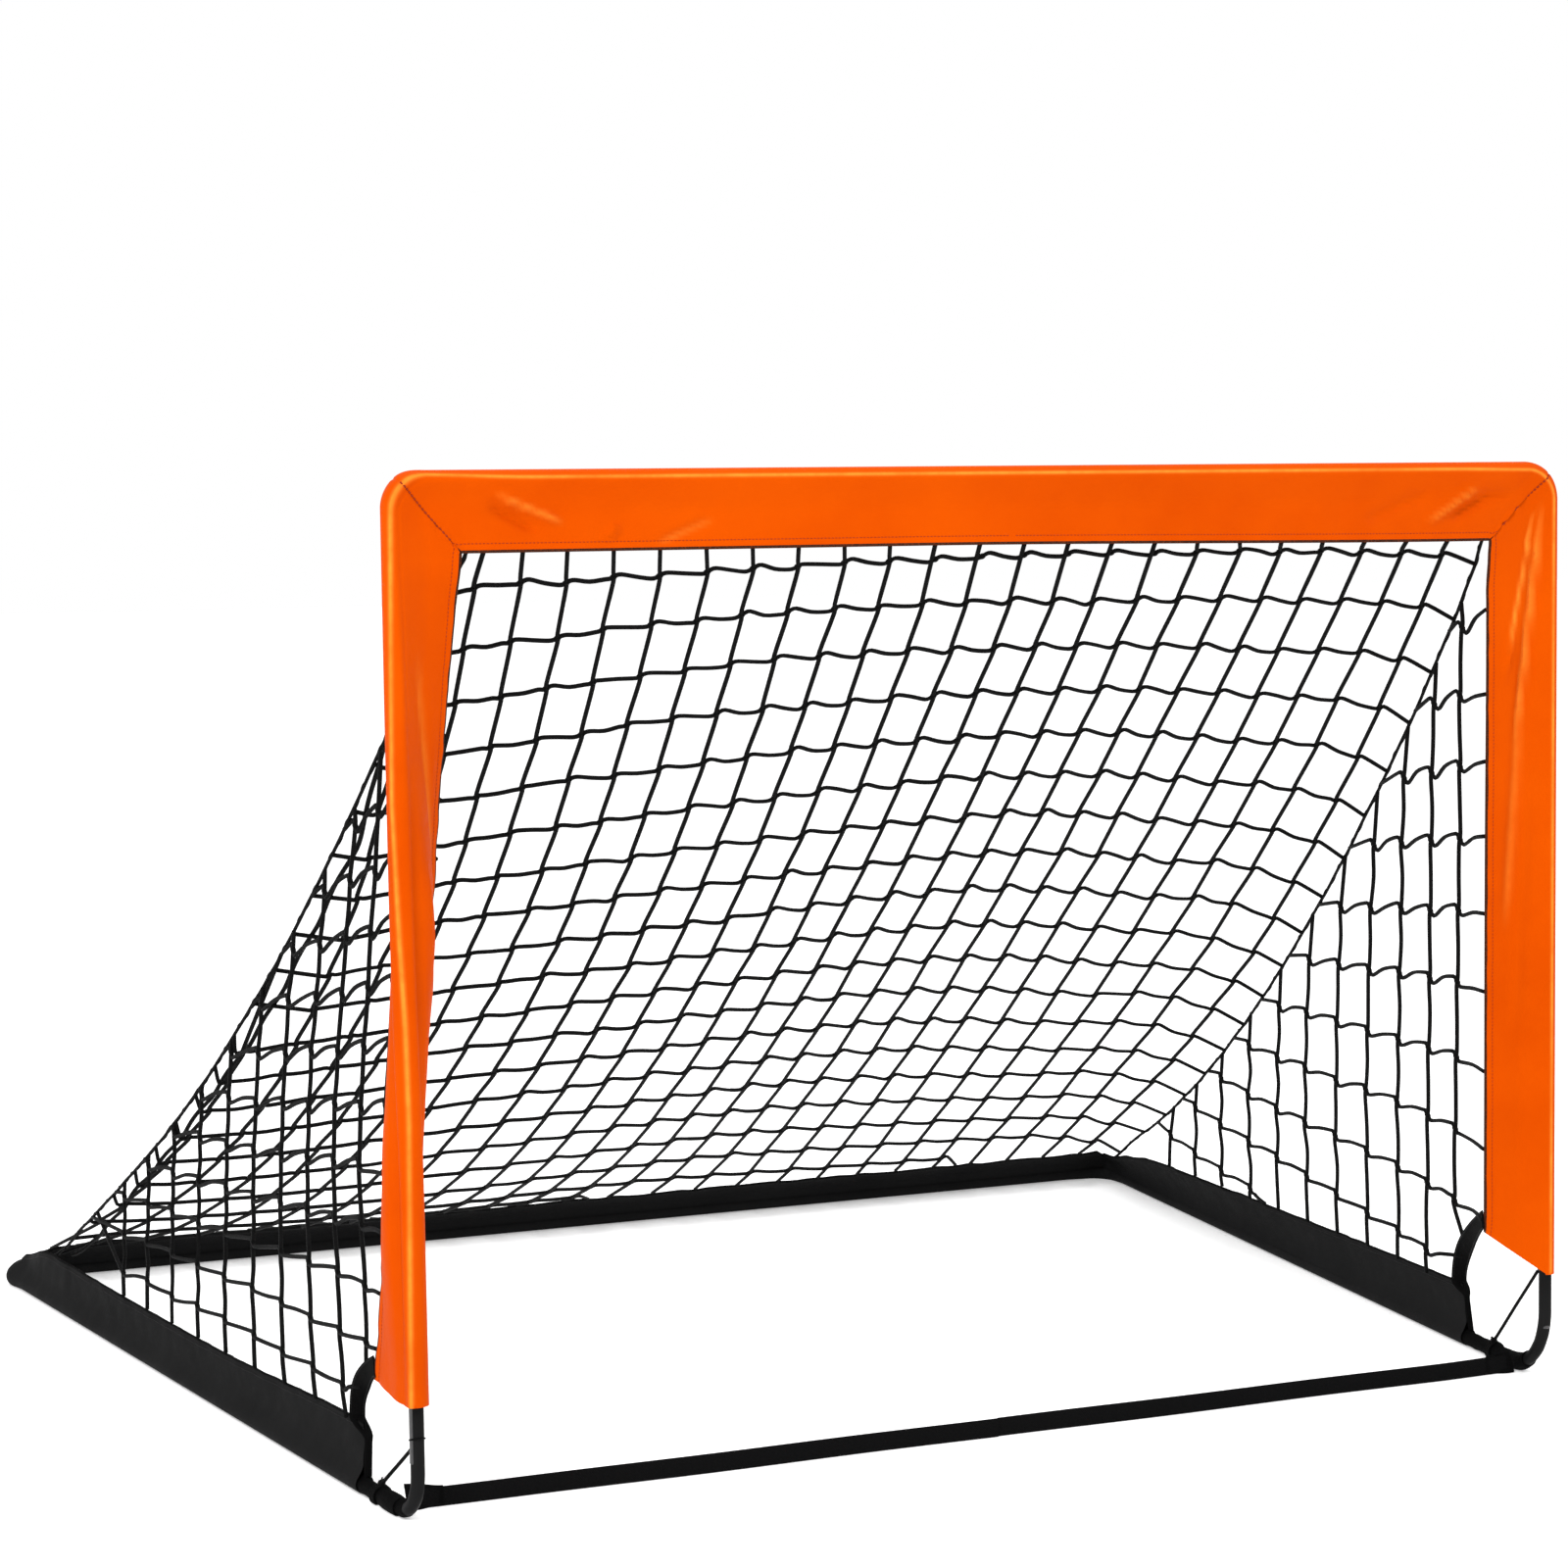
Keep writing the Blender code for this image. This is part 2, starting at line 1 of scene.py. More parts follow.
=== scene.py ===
# Looks of a portable soccer goal: sewn sleeves, knotted netting, rubber elbows and webbing,
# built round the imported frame.  Geometry is written in the part's working coordinates
# (x = 0 on the centre plane, y = 0 on the post axes, z = 0 on the ground rails' axis)
# and shifted into the frame when a piece is made.
from math import pi, radians, sin, cos, tan, atan2, sqrt, degrees, atan

import bpy
import numpy as np
from mathutils import Matrix, Vector


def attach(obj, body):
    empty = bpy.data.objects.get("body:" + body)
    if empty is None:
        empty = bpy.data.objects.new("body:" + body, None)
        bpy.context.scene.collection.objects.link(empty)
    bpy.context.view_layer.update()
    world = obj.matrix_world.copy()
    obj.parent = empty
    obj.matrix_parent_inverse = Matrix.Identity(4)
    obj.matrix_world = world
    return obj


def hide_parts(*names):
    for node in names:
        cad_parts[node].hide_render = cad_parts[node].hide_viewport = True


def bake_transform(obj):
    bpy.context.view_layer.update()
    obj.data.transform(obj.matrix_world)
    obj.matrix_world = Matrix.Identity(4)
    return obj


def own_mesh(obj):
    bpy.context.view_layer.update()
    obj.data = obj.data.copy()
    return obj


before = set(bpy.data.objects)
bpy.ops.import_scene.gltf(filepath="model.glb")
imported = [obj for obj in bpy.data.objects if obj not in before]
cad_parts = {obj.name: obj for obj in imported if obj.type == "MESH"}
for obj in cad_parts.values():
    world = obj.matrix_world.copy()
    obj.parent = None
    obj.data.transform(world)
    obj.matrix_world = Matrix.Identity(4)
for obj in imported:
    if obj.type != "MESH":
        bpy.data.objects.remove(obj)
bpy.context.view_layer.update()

# ------------------------------------------------------------------ dimensions, as in the part
HALF_W = 0.6025
HALF_REAR = 0.7370
DEPTH = 1.1960
H_BAR = 0.9233
R_TUBE = 0.0065
R_BORE = 0.0053
BEND_FRONT = 0.045
BEND = 0.030
RING_R = 0.0091
RING_N = 16
POST_FLAP = 0.060
BAR_FLAP = 0.063
BASE_FLAP = 0.062
GROUND = -0.0076
BASE_RING_Z = GROUND + RING_R * cos(pi / RING_N)
SLEEVE_FRONT = {-1: 0.142, 1: 0.176}
POST_END = 0.100
POST_BOTTOM = {-1: 0.1015, 1: 0.105}
SLANT = {-1: 0.013, 1: 0.0445}
STRAP_Y = 0.0455
STRAP_H = 0.0185
SEAM_SAG = {-1: 0.120, 1: 0.105}
BAND_W = 0.0145
SHIFT = np.array([0.0, -0.5979127, -GROUND])
FLARE = atan2(HALF_REAR - HALF_W, DEPTH)
RAIL_LEN = sqrt(DEPTH ** 2 + (HALF_REAR - HALF_W) ** 2)
TURN_REAR = pi / 2 + FLARE
T_REAR = BEND * tan(TURN_REAR / 2)
TAG = {-1: "left", 1: "right"}
CLOTH_FRONT = {-1: 0.119, 1: 0.167}
EDGING = {-1: 0.1105, 1: 0.1607}
EDGING_W = {-1: 0.0074, 1: 0.0056}
TWINE_R = 0.00226
ROPE_R = 0.0018


# ------------------------------------------------------------------ camera
def make_camera():
    yaw, pitch, roll = radians(22.93853), radians(4.41329), radians(-0.71425)
    fwd = Vector((sin(yaw) * cos(pitch), cos(yaw) * cos(pitch), -sin(pitch)))
    right = Vector((cos(yaw), -sin(yaw), 0.0))
    up = right.cross(fwd)
    r = cos(roll) * right + sin(roll) * up
    u = -sin(roll) * right + cos(roll) * up
    cam = bpy.data.cameras.new("camera")
    cam.sensor_width = 36.0
    cam.lens = 3638.06 / 1600 * 36.0
    cam.clip_start, cam.clip_end = 0.05, 200.0
    ob = bpy.data.objects.new("camera", cam)
    bpy.context.scene.collection.objects.link(ob)
    m = Matrix.Identity(4)
    for i in range(3):
        m[i][0], m[i][1], m[i][2] = r[i], u[i], -fwd[i]
    m.translation = Vector((-1.5120, -3.0136, 0.8945)) + Vector(SHIFT)
    ob.matrix_world = m
    bpy.context.scene.camera = ob
    return ob


make_camera()


# ------------------------------------------------------------------ small maths
def unit(v):
    v = np.asarray(v, float)
    return v / np.linalg.norm(v)


def units(a):
    return a / np.maximum(np.linalg.norm(a, axis=-1, keepdims=True), 1e-12)


def smooth(x):
    x = np.clip(x, 0.0, 1.0)
    return x * x * (3 - 2 * x)


def bump(x, w):
    return np.exp(-(x / w) ** 2)


def hash01(*k):
    """A fixed number from 0 to 1 for these whole numbers."""
    h = 2166136261
    for i in k:
        h = ((h ^ (int(i) & 0xFFFFFFFF)) * 16777619) & 0xFFFFFFFF
        h ^= h >> 13
        h = (h * 1274126177) & 0xFFFFFFFF
        h ^= h >> 16
    return (h & 0xFFFFFF) / float(0xFFFFFF)


def jit(*k):
    return 2 * hash01(*k) - 1


def value_noise(x, y, seed):
    """Smooth noise of -1 to 1 on arrays x and y, one cell per unit."""
    x, y = np.asarray(x, float), np.asarray(y, float)
    xi, yi = np.floor(x).astype(np.int64), np.floor(y).astype(np.int64)
    fx, fy = smooth(x - xi), smooth(y - yi)

    def h(a, b):
        q = (a * 374761393 + b * 668265263 + seed * 2147483647) & 0xFFFFFFFF
        q = ((q ^ (q >> 13)) * 1274126177) & 0xFFFFFFFF
        q = q ^ (q >> 16)
        return (q & 0xFFFF) / 32767.5 - 1

    a, b, c, d = h(xi, yi), h(xi + 1, yi), h(xi, yi + 1), h(xi + 1, yi + 1)
    return (a * (1 - fx) + b * fx) * (1 - fy) + (c * (1 - fx) + d * fx) * fy


# ------------------------------------------------------------------ meshes
class Soup:
    """Vertices, faces, UVs in metres and material numbers of one piece."""

    def __init__(self):
        self.v, self.f, self.uv, self.m, self.n = [], [], [], [], 0
        self.crease = []

    def add(self, verts, faces, uvs, mat):
        verts = np.asarray(verts, float).reshape(-1, 3)
        self.v.append(verts)
        self.crease.append(np.zeros(len(verts)))
        for face, uv in zip(faces, uvs):
            self.f.append([i + self.n for i in face])
            self.uv.append(uv)
            self.m.append(mat)
        self.n += len(verts)

    def grid(self, p, mat=0, close_u=False, close_v=False, uu=None, vv=None, flip=False, mats=None, crease=None):
        """Quads over p[i, j]; uu and vv are UV coordinates along i and j, one longer where closed."""
        p = np.asarray(p, float)
        nu, nv = p.shape[:2]
        ni, nj = (nu if close_u else nu - 1), (nv if close_v else nv - 1)
        if uu is None:
            step = np.linalg.norm(np.diff(p, axis=0), axis=2).mean(axis=1)
            uu = np.concatenate([[0], np.cumsum(step)])
            if close_u:
                uu = np.append(uu, uu[-1] + np.linalg.norm(p[0] - p[-1], axis=1).mean())
        if vv is None:
            step = np.linalg.norm(np.diff(p, axis=1), axis=2).mean(axis=0)
            vv = np.concatenate([[0], np.cumsum(step)])
            if close_v:
                vv = np.append(vv, vv[-1] + np.linalg.norm(p[:, 0] - p[:, -1], axis=1).mean())
        idx = np.arange(nu * nv).reshape(nu, nv) + self.n
        self.v.append(p.reshape(-1, 3))
        self.crease.append(np.zeros(nu * nv) if crease is None else np.asarray(crease, float).reshape(-1))
        for i in range(ni):
            i2 = (i + 1) % nu
            for j in range(nj):
                j2 = (j + 1) % nv
                q = [idx[i, j], idx[i2, j], idx[i2, j2], idx[i, j2]]
                w = [(uu[i], vv[j]), (uu[i + 1], vv[j]), (uu[i + 1], vv[j + 1]), (uu[i], vv[j + 1])]
                if flip:
                    q, w = q[::-1], w[::-1]
                self.f.append(q)
                self.uv.append(w)
                self.m.append(mat if mats is None else mats[j])
        self.n += nu * nv

    def fan(self, ring, mat=0, flip=False):
        """A cap over a closed ring of points."""
        ring = np.asarray(ring, float)
        c = ring.mean(axis=0)
        n = len(ring)
        verts = np.vstack([ring, c])
        faces, uvs = [], []
        for k in range(n):
            q = [k, (k + 1) % n, n]
            w = [(0.0, 0.0), (0.002, 0.0), (0.001, 0.002)]
            faces.append(q[::-1] if flip else q)
            uvs.append(w)
        self.add(verts, faces, uvs, mat)

    def tube(self, path, r, n=6, mat=0, caps=True, up=(0, 0, 1), flat=1.0, u0=0.0):
        """Round (or flattened) cord along a path."""
        path = np.asarray(path, float)
        m = len(path)
        r = np.full(m, r, float) if np.isscalar(r) else np.asarray(r, float)
        t = np.empty_like(path)
        t[1:-1] = path[2:] - path[:-2]
        t[0], t[-1] = path[1] - path[0], path[-1] - path[-2]
        t = units(t)
        ref = np.asarray(up, float)
        if abs(ref @ t[0]) > 0.9:
            ref = np.array([0.0, 1.0, 0.0]) if abs(t[0][1]) < 0.9 else np.array([1.0, 0.0, 0.0])
        refs = np.empty_like(path)
        for i in range(m):
            ref = ref - t[i] * (ref @ t[i])
            ref = ref / sqrt(ref @ ref)
            refs[i] = ref
        side = np.cross(t, refs)
        ang = 2 * pi * np.arange(n) / n
        c, s = np.cos(ang), np.sin(ang)
        p = (path[:, None] + r[:, None, None] * (c[None, :, None] * refs[:, None] * flat + s[None, :, None] * side[:, None]))
        uu = np.concatenate([[0], np.cumsum(np.linalg.norm(np.diff(path, axis=0), axis=1))]) + u0
        rr = float(r.mean())
        vv = np.arange(n + 1) / n * 2 * pi * rr
        self.grid(p, mat, close_v=True, uu=uu, vv=vv)
        if caps:
            self.fan(p[0], mat, flip=False)
            self.fan(p[-1], mat, flip=True)
        return p

    def blob(self, centre, axes, mat=0, nu=8, nv=5):
        """An ellipsoid: axes are three half-axis vectors."""
        a, b, c = (np.asarray(x, float) for x in axes)
        th = np.linspace(0, pi, nv + 2)[1:-1]
        ph = 2 * pi * np.arange(nu) / nu
        p = np.array([[np.asarray(centre) + c * cos(q) + sin(q) * (cos(w) * a + sin(w) * b) for w in ph] for q in th])
        rr = float(np.linalg.norm(a))
        self.grid(p, mat, close_v=True, uu=th * rr, vv=np.append(ph, 2 * pi) * rr)
        top, bot = np.asarray(centre) + c, np.asarray(centre) - c
        base = len(p.reshape(-1, 3))
        verts = np.vstack([p[0], top])
        faces = [[(k + 1) % nu, k, nu] for k in range(nu)]
        self.add(verts, faces, [[(0, 0), (0.001, 0), (0, 0.001)]] * nu, mat)
        verts = np.vstack([p[-1], bot])
        faces = [[k, (k + 1) % nu, nu] for k in range(nu)]
        self.add(verts, faces, [[(0, 0), (0.001, 0), (0, 0.001)]] * nu, mat)

    def build(self, name, mats, weld=2e-6, sharp=None):
        v = np.vstack(self.v) + SHIFT
        me = bpy.data.meshes.new(name)
        nl = sum(len(f) for f in self.f)
        me.vertices.add(len(v))
        me.vertices.foreach_set("co", v.astype(np.float32).ravel())
        me.loops.add(nl)
        me.loops.foreach_set("vertex_index", np.fromiter((i for f in self.f for i in f), np.int32, nl))
        me.polygons.add(len(self.f))
        sizes = np.array([len(f) for f in self.f], np.int32)
        me.polygons.foreach_set("loop_start", np.concatenate([[0], np.cumsum(sizes)[:-1]]).astype(np.int32))
        me.polygons.foreach_set("material_index", np.array(self.m, np.int32))
        me.polygons.foreach_set("use_smooth", [True] * len(self.f))
        me.update(calc_edges=True)
        layer = me.uv_layers.new(name="metric")
        layer.data.foreach_set("uv", np.array([c for w in self.uv for p in w for c in p], np.float32))
        # per-vertex weight of the painted crease highlight, read by the orange material
        crease = np.concatenate(self.crease)
        if crease.any():
            me.attributes.new("crease", "FLOAT", "POINT").data.foreach_set("value", crease.astype(np.float32))
        me.validate()
        for m in mats:
            me.materials.append(m)
        ob = bpy.data.objects.new(name, me)
        bpy.context.scene.collection.objects.link(ob)
        if weld:
            import bmesh
            bm = bmesh.new()
            bm.from_mesh(me)
            bmesh.ops.remove_doubles(bm, verts=bm.verts, dist=weld)
            bm.to_mesh(me)
            bm.free()
        if sharp:
            me.set_sharp_from_angle(angle=radians(sharp))
        return ob


# ------------------------------------------------------------------ materials
class Mat:
    """A little helper for node materials."""

    def __init__(self, name, base, rough=0.5, **fixed):
        self.m = bpy.data.materials.new(name)
        self.m.use_nodes = True
        self.t = self.m.node_tree
        self.b = self.t.nodes["Principled BSDF"]
        self.b.inputs["Base Color"].default_value = (*base, 1)
        self.b.inputs["Roughness"].default_value = rough
        for k, v in fixed.items():
            self.b.inputs[k.replace("_", " ")].default_value = v
        self.m.diffuse_color = (*base, 1)

    def node(self, kind, **props):
        n = self.t.nodes.new("ShaderNode" + kind)
        for k, v in props.items():
            if k in n.inputs.keys():
                n.inputs[k].default_value = v
            else:
                setattr(n, k, v)
        return n

    def link(self, a, b):
        self.t.links.new(a, b)

    def uv(self, sx=1.0, sy=1.0):
        n = self.node("UVMap")
        n.uv_map = "metric"
        mp = self.node("Mapping")
        mp.inputs["Scale"].default_value = (sx, sy, 1)
        self.link(n.outputs["UV"], mp.inputs["Vector"])
        return mp.outputs["Vector"]

    def obj(self, s=1.0):
        n = self.node("TexCoord")
        mp = self.node("Mapping")
        mp.inputs["Scale"].default_value = (s, s, s) if np.isscalar(s) else s
        self.link(n.outputs["Object"], mp.inputs["Vector"])
        return mp.outputs["Vector"]

    def noise(self, vec, scale, detail=3.0, rough=0.5):
        n = self.node("TexNoise")
        n.inputs["Scale"].default_value = scale
        n.inputs["Detail"].default_value = detail
        n.inputs["Roughness"].default_value = rough
        self.link(vec, n.inputs["Vector"])
        return n.outputs["Fac"]

    def ramp(self, fac, stops):
        n = self.node("ValToRGB")
        e = n.color_ramp.elements
        while len(e) < len(stops):
            e.new(0.5)
        for k, (p, c) in enumerate(stops):
            e[k].position = p
            e[k].color = (*c, 1) if len(c) == 3 else c
        self.link(fac, n.inputs["Fac"])
        return n.outputs["Color"]

    def math(self, op, a, b=None, c=None):
        n = self.node("Math")
        n.operation = op
        for i, x in enumerate((a, b, c)):
            if x is None:
                continue
            if isinstance(x, (int, float)):
                n.inputs[i].default_value = x
            else:
                self.link(x, n.inputs[i])
        return n.outputs[0]

    def mix(self, fac, a, b, mode="MIX"):
        n = self.node("Mix")
        n.data_type = "RGBA"
        n.blend_type = mode
        for i, x in ((0, fac), (6, a), (7, b)):
            if isinstance(x, (int, float)):
                n.inputs[i].default_value = x
            elif isinstance(x, tuple):
                n.inputs[i].default_value = (*x, 1)
            else:
                self.link(x, n.inputs[i])
        return n.outputs[2]

    def maprange(self, v, a, b, c, d):
        n = self.node("MapRange")
        for i, x in zip((1, 2, 3, 4), (a, b, c, d)):
            n.inputs[i].default_value = x
        self.link(v, n.inputs[0])
        return n.outputs[0]

    def weave(self, pitch, aspect=1.0):
        """Height of a plain weave, 0 to 1, from the metric UVs."""
        sep = self.node("SeparateXYZ")
        self.link(self.uv(1 / pitch, 1 / (pitch * aspect)), sep.inputs[0])
        x, y = sep.outputs[0], sep.outputs[1]
        sx = self.math("SINE", self.math("MULTIPLY", x, 2 * pi))
        sy = self.math("SINE", self.math("MULTIPLY", y, 2 * pi))
        prod = self.math("MULTIPLY", sx, sy)
        return self.math("MULTIPLY_ADD", prod, 0.5, 0.5)

    def bump(self, heights, last=None):
        """heights: (socket, strength, distance), finest last."""
        prev = last
        for h, s, d in heights:
            n = self.node("Bump")
            n.inputs["Strength"].default_value = s
            n.inputs["Distance"].default_value = d
            self.link(h, n.inputs["Height"])
            if prev is not None:
                self.link(prev, n.inputs["Normal"])
            prev = n.outputs["Normal"]
        self.link(prev, self.b.inputs["Normal"])
        return prev

    def colour(self, sock):
        self.link(sock, self.b.inputs["Base Color"])

    def rough(self, sock):
        self.link(sock, self.b.inputs["Roughness"])


def orange_fabric():
    m = Mat("orange_polyester", (0.545, 0.060, 0.0003), 0.46, Specular_IOR_Level=0.02, Specular_Tint=(1.0, 0.42, 0.05, 1.0))
    v = m.obj(1.0)
    big = m.noise(v, 4.0, 2.0)
    mid = m.noise(v, 24.0, 4.0, 0.55)
    c1 = m.ramp(big, [(0.30, (0.475, 0.048, 0.0002)), (0.52, (0.523, 0.0565, 0.0003)), (0.74, (0.570, 0.068, 0.0004))])
    c2 = m.mix(m.maprange(mid, 0.35, 0.75, 0.0, 0.30), c1, (0.60, 0.076, 0.0005))
    w = m.weave(0.00060)
    # painted shade: the weave's hollows are darkened
    c3 = m.mix(m.maprange(w, 0.0, 1.0, 0.12, 0.0), c2, (0.35, 0.028, 0.0002))
    # painted highlight: the taut crease along the rod and the fold crests are made lighter orange, broken up by noise
    at = m.node("Attribute")
    at.attribute_name = "crease"
    at.attribute_type = "GEOMETRY"
    highlight_breakup = m.noise(m.obj(1.0), 60.0, 3.0, 0.6)
    k = m.math("MULTIPLY", at.outputs["Fac"], m.maprange(highlight_breakup, 0.25, 0.7, 0.55, 0.95))
    # painted highlight colour, mixed in by the crease attribute's weight
    c4 = m.mix(k, c3, (0.86, 0.27, 0.030))
    m.colour(c4)
    m.rough(m.maprange(mid, 0.3, 0.7, 0.42, 0.55))
    crease = m.noise(m.obj((1.0, 1.0, 1.0)), 46.0, 3.0, 0.6)
    m.bump([(crease, 0.30, 0.0018), (w, 0.35, 0.00012)])
    return m.m


def orange_edge():
    """Turned edge of the sleeve where the netting is sewn in: dark thread over brown-orange cloth."""
    m = Mat("sleeve_edge_thread", (0.06, 0.010, 0.002), 0.75, Specular_IOR_Level=0.1)
    n = m.noise(m.uv(900, 300), 1.0, 2.0)
    m.colour(m.ramp(n, [(0.35, (0.018, 0.005, 0.002)), (0.60, (0.055, 0.011, 0.002)), (0.80, (0.20, 0.028, 0.002))]))
    m.bump([(n, 0.5, 0.0003)])
    return m.m


def thread(name, base):
    m = Mat(name, base, 0.55, Specular_IOR_Level=0.15)
    w = m.noise(m.uv(2600, 900), 1.0, 1.0)
    m.colour(m.mix(m.maprange(w, 0.3, 0.7, 0.0, 0.45), base, tuple(c * 0.45 for c in base)))
    m.bump([(w, 0.6, 0.0001)])
    return m.m


def black_fabric():
    m = Mat("black_polyester", (0.0110, 0.0110, 0.0112), 0.50, Specular_IOR_Level=0.003)
    v = m.obj(1.0)
    big = m.noise(v, 9.0, 3.0)
    mid = m.noise(v, 40.0, 4.0, 0.6)
    c1 = m.ramp(big, [(0.30, (0.0105, 0.0105, 0.0107)), (0.70, (0.0132, 0.0132, 0.0134))])
    w = m.weave(0.00065)
    # painted shade: the weave's hollows are darkened
    c2 = m.mix(m.maprange(w, 0.0, 1.0, 0.40, 0.0), c1, (0.0022, 0.0022, 0.0022))
    m.colour(c2)
    m.rough(m.maprange(mid, 0.3, 0.7, 0.38, 0.52))
    crease = m.noise(v, 55.0, 3.0, 0.6)
    m.bump([(crease, 0.20, 0.0018), (w, 0.4, 0.00013)])
    return m.m


def webbing(name="black_webbing", base=(0.0050, 0.0050, 0.0052)):
    """Coarse ribbed tape: warp cords along u, weft steps across."""
    m = Mat(name, base, 0.62, Specular_IOR_Level=0.008)
    sep = m.node("SeparateXYZ")
    m.link(m.uv(1 / 0.0021, 1 / 0.00135), sep.inputs[0])
    x, y = sep.outputs[0], sep.outputs[1]
    row = m.math("FLOOR", y)
    shift = m.math("MULTIPLY", row, 0.5)
    a = m.math("ABSOLUTE", m.math("SINE", m.math("MULTIPLY", m.math("ADD", x, shift), pi)))
    b = m.math("ABSOLUTE", m.math("SINE", m.math("MULTIPLY", y, pi)))
    h = m.math("MULTIPLY", m.math("POWER", a, 0.6), m.math("POWER", b, 0.7))
    n = m.noise(m.uv(420, 900), 1.0, 3.0)
    # painted shade: the grooves between the ribs and weft steps are darkened
    c = m.mix(m.maprange(h, 0.0, 1.0, 0.85, 0.0), m.ramp(n, [(0.3, tuple(c * 0.8 for c in base)), (0.75, tuple(c * 1.9 for c in base))]),
              (0.0012, 0.0012, 0.0012))
    m.colour(c)
    m.bump([(n, 0.25, 0.0004), (h, 0.9, 0.00045)])
    return m.m


def twine_material(name, base, pitch=0.0042):
    """Braided polyethylene cord: diagonal strands crossing round it."""
    m = Mat(name, base, 0.60, Specular_IOR_Level=0.04)
    sep = m.node("SeparateXYZ")
    m.link(m.uv(1 / pitch, 1 / pitch), sep.inputs[0])
    x, y = sep.outputs[0], sep.outputs[1]
    d1 = m.math("SINE", m.math("MULTIPLY", m.math("ADD", x, y), 2 * pi))
    d2 = m.math("SINE", m.math("MULTIPLY", m.math("SUBTRACT", x, y), 2 * pi))
    h = m.math("MAXIMUM", d1, d2)
    n = m.noise(m.obj(1.0), 190.0, 2.0)
    # painted shade: the grooves between the braid's strands are darkened
    c = m.mix(m.maprange(h, -0.4, 1.0, 0.7, 0.0), m.ramp(n, [(0.3, tuple(c * 0.7 for c in base)), (0.8, tuple(c * 1.8 for c in base))]),
              (0.0008, 0.0008, 0.0008))
    m.colour(c)
    m.bump([(h, 0.7, 0.00035)])
    return m.m


def rubber():
    m = Mat("black_rubber", (0.0075, 0.0075, 0.0076), 0.38, Specular_IOR_Level=0.018)
    v = m.obj(1.0)
    n = m.noise(v, 120.0, 4.0, 0.6)
    big = m.noise(v, 22.0, 2.0)
    m.colour(m.ramp(big, [(0.3, (0.0058, 0.0058, 0.0059)), (0.75, (0.0095, 0.0095, 0.0097))]))
    m.rough(m.maprange(n, 0.3, 0.75, 0.30, 0.52))
    m.bump([(big, 0.15, 0.0010), (n, 0.18, 0.0002)])
    return m.m


def rod_material():
    m = Mat("pultruded_rod", (0.020, 0.020, 0.021), 0.35, Specular_IOR_Level=0.5)
    n = m.noise(m.obj((1.0, 1.0, 1.0)), 300.0, 3.0)
    m.colour(m.ramp(n, [(0.3, (0.012, 0.012, 0.013)), (0.8, (0.035, 0.035, 0.036))]))
    m.bump([(n, 0.2, 0.0001)])
    return m.m


def floor_material():
    m = Mat("studio_floor", (0.90, 0.90, 0.90), 0.9, Specular_IOR_Level=0.1, Emission_Color=(1.0, 1.0, 1.0, 1.0), Emission_Strength=0.30)
    n = m.noise(m.obj(1.0), 0.6, 2.0)
    m.colour(m.ramp(n, [(0.2, (0.895, 0.895, 0.895)), (0.8, (0.905, 0.905, 0.905))]))
    return m.m


ORANGE, EDGE = orange_fabric(), orange_edge()
ORANGE_THREAD = thread("orange_thread", (0.34, 0.030, 0.0006))
SEAM_THREAD = thread("seam_thread", (0.27, 0.021, 0.0005))
BLACK, BLACK_THREAD = black_fabric(), thread("black_thread", (0.010, 0.010, 0.0104))
BINDING = webbing("black_binding", (0.0036, 0.0036, 0.0037))
WEB, SHEATH = webbing(), webbing("black_sheath", (0.0034, 0.0034, 0.0035))
TWINE = twine_material("net_twine", (0.0034, 0.0034, 0.0035), 0.0030)
ROPE = twine_material("net_rope", (0.0034, 0.0034, 0.0035), 0.0046)
CORD = twine_material("stay_cord_braid", (0.0034, 0.0034, 0.0035), 0.0022)
RUBBER, ROD = rubber(), rod_material()


# ------------------------------------------------------------------ the part's curves
TWIST_Z = np.array([0.100, 0.118, 0.131, 0.148, 0.177, 0.220, 0.270, 0.326, 0.396, 0.466, 0.536, 0.605, 0.674, 0.744, 0.812, 0.847,
                    0.861, 0.900])
TWIST_DEG = np.array([111.0, 111.0, 107.0, 105.0, 102.0, 99.0, 96.0, 91.0, 74.0, 60.0, 48.0, 42.0, 35.0, 26.0, 14.0, 7.0, 3.0, 2.0])


def post_psi(side, z):
    if side < 0:
        return radians(float(np.mean(np.interp(z + np.linspace(-0.022, 0.022, 9), TWIST_Z, TWIST_DEG))))
    return radians(4 + 14 * smooth((0.80 - z) / 0.5))


def post_tip(side, z):
    psi = post_psi(side, z)
    flap = POST_FLAP if side < 0 else 0.0645 + 0.0065 * smooth((z - 0.30) / 0.56)
    return np.array([side * (HALF_W - flap * cos(psi)), flap * sin(psi), z])


def bar_edge(x):
    """Height of the crossbar sleeve's free edge: it is cut a little wider towards the right."""
    return H_BAR - BAR_FLAP - 0.0017 - 0.0048 * smooth((x + 0.10) / 0.62)


def inner_corner(side):
    x = -0.5425 if side < 0 else 0.5315
    return np.array([x, 0.0, bar_edge(x)])


def rail_point(side, s, z=0.0):
    return np.array([side * (HALF_W + s * sin(FLARE)), s * cos(FLARE), z])


def rail_dir(side):
    return np.array([side * sin(FLARE), cos(FLARE), 0.0])


def rail_in(side):
    return np.array([-side * cos(FLARE), sin(FLARE), 0.0])


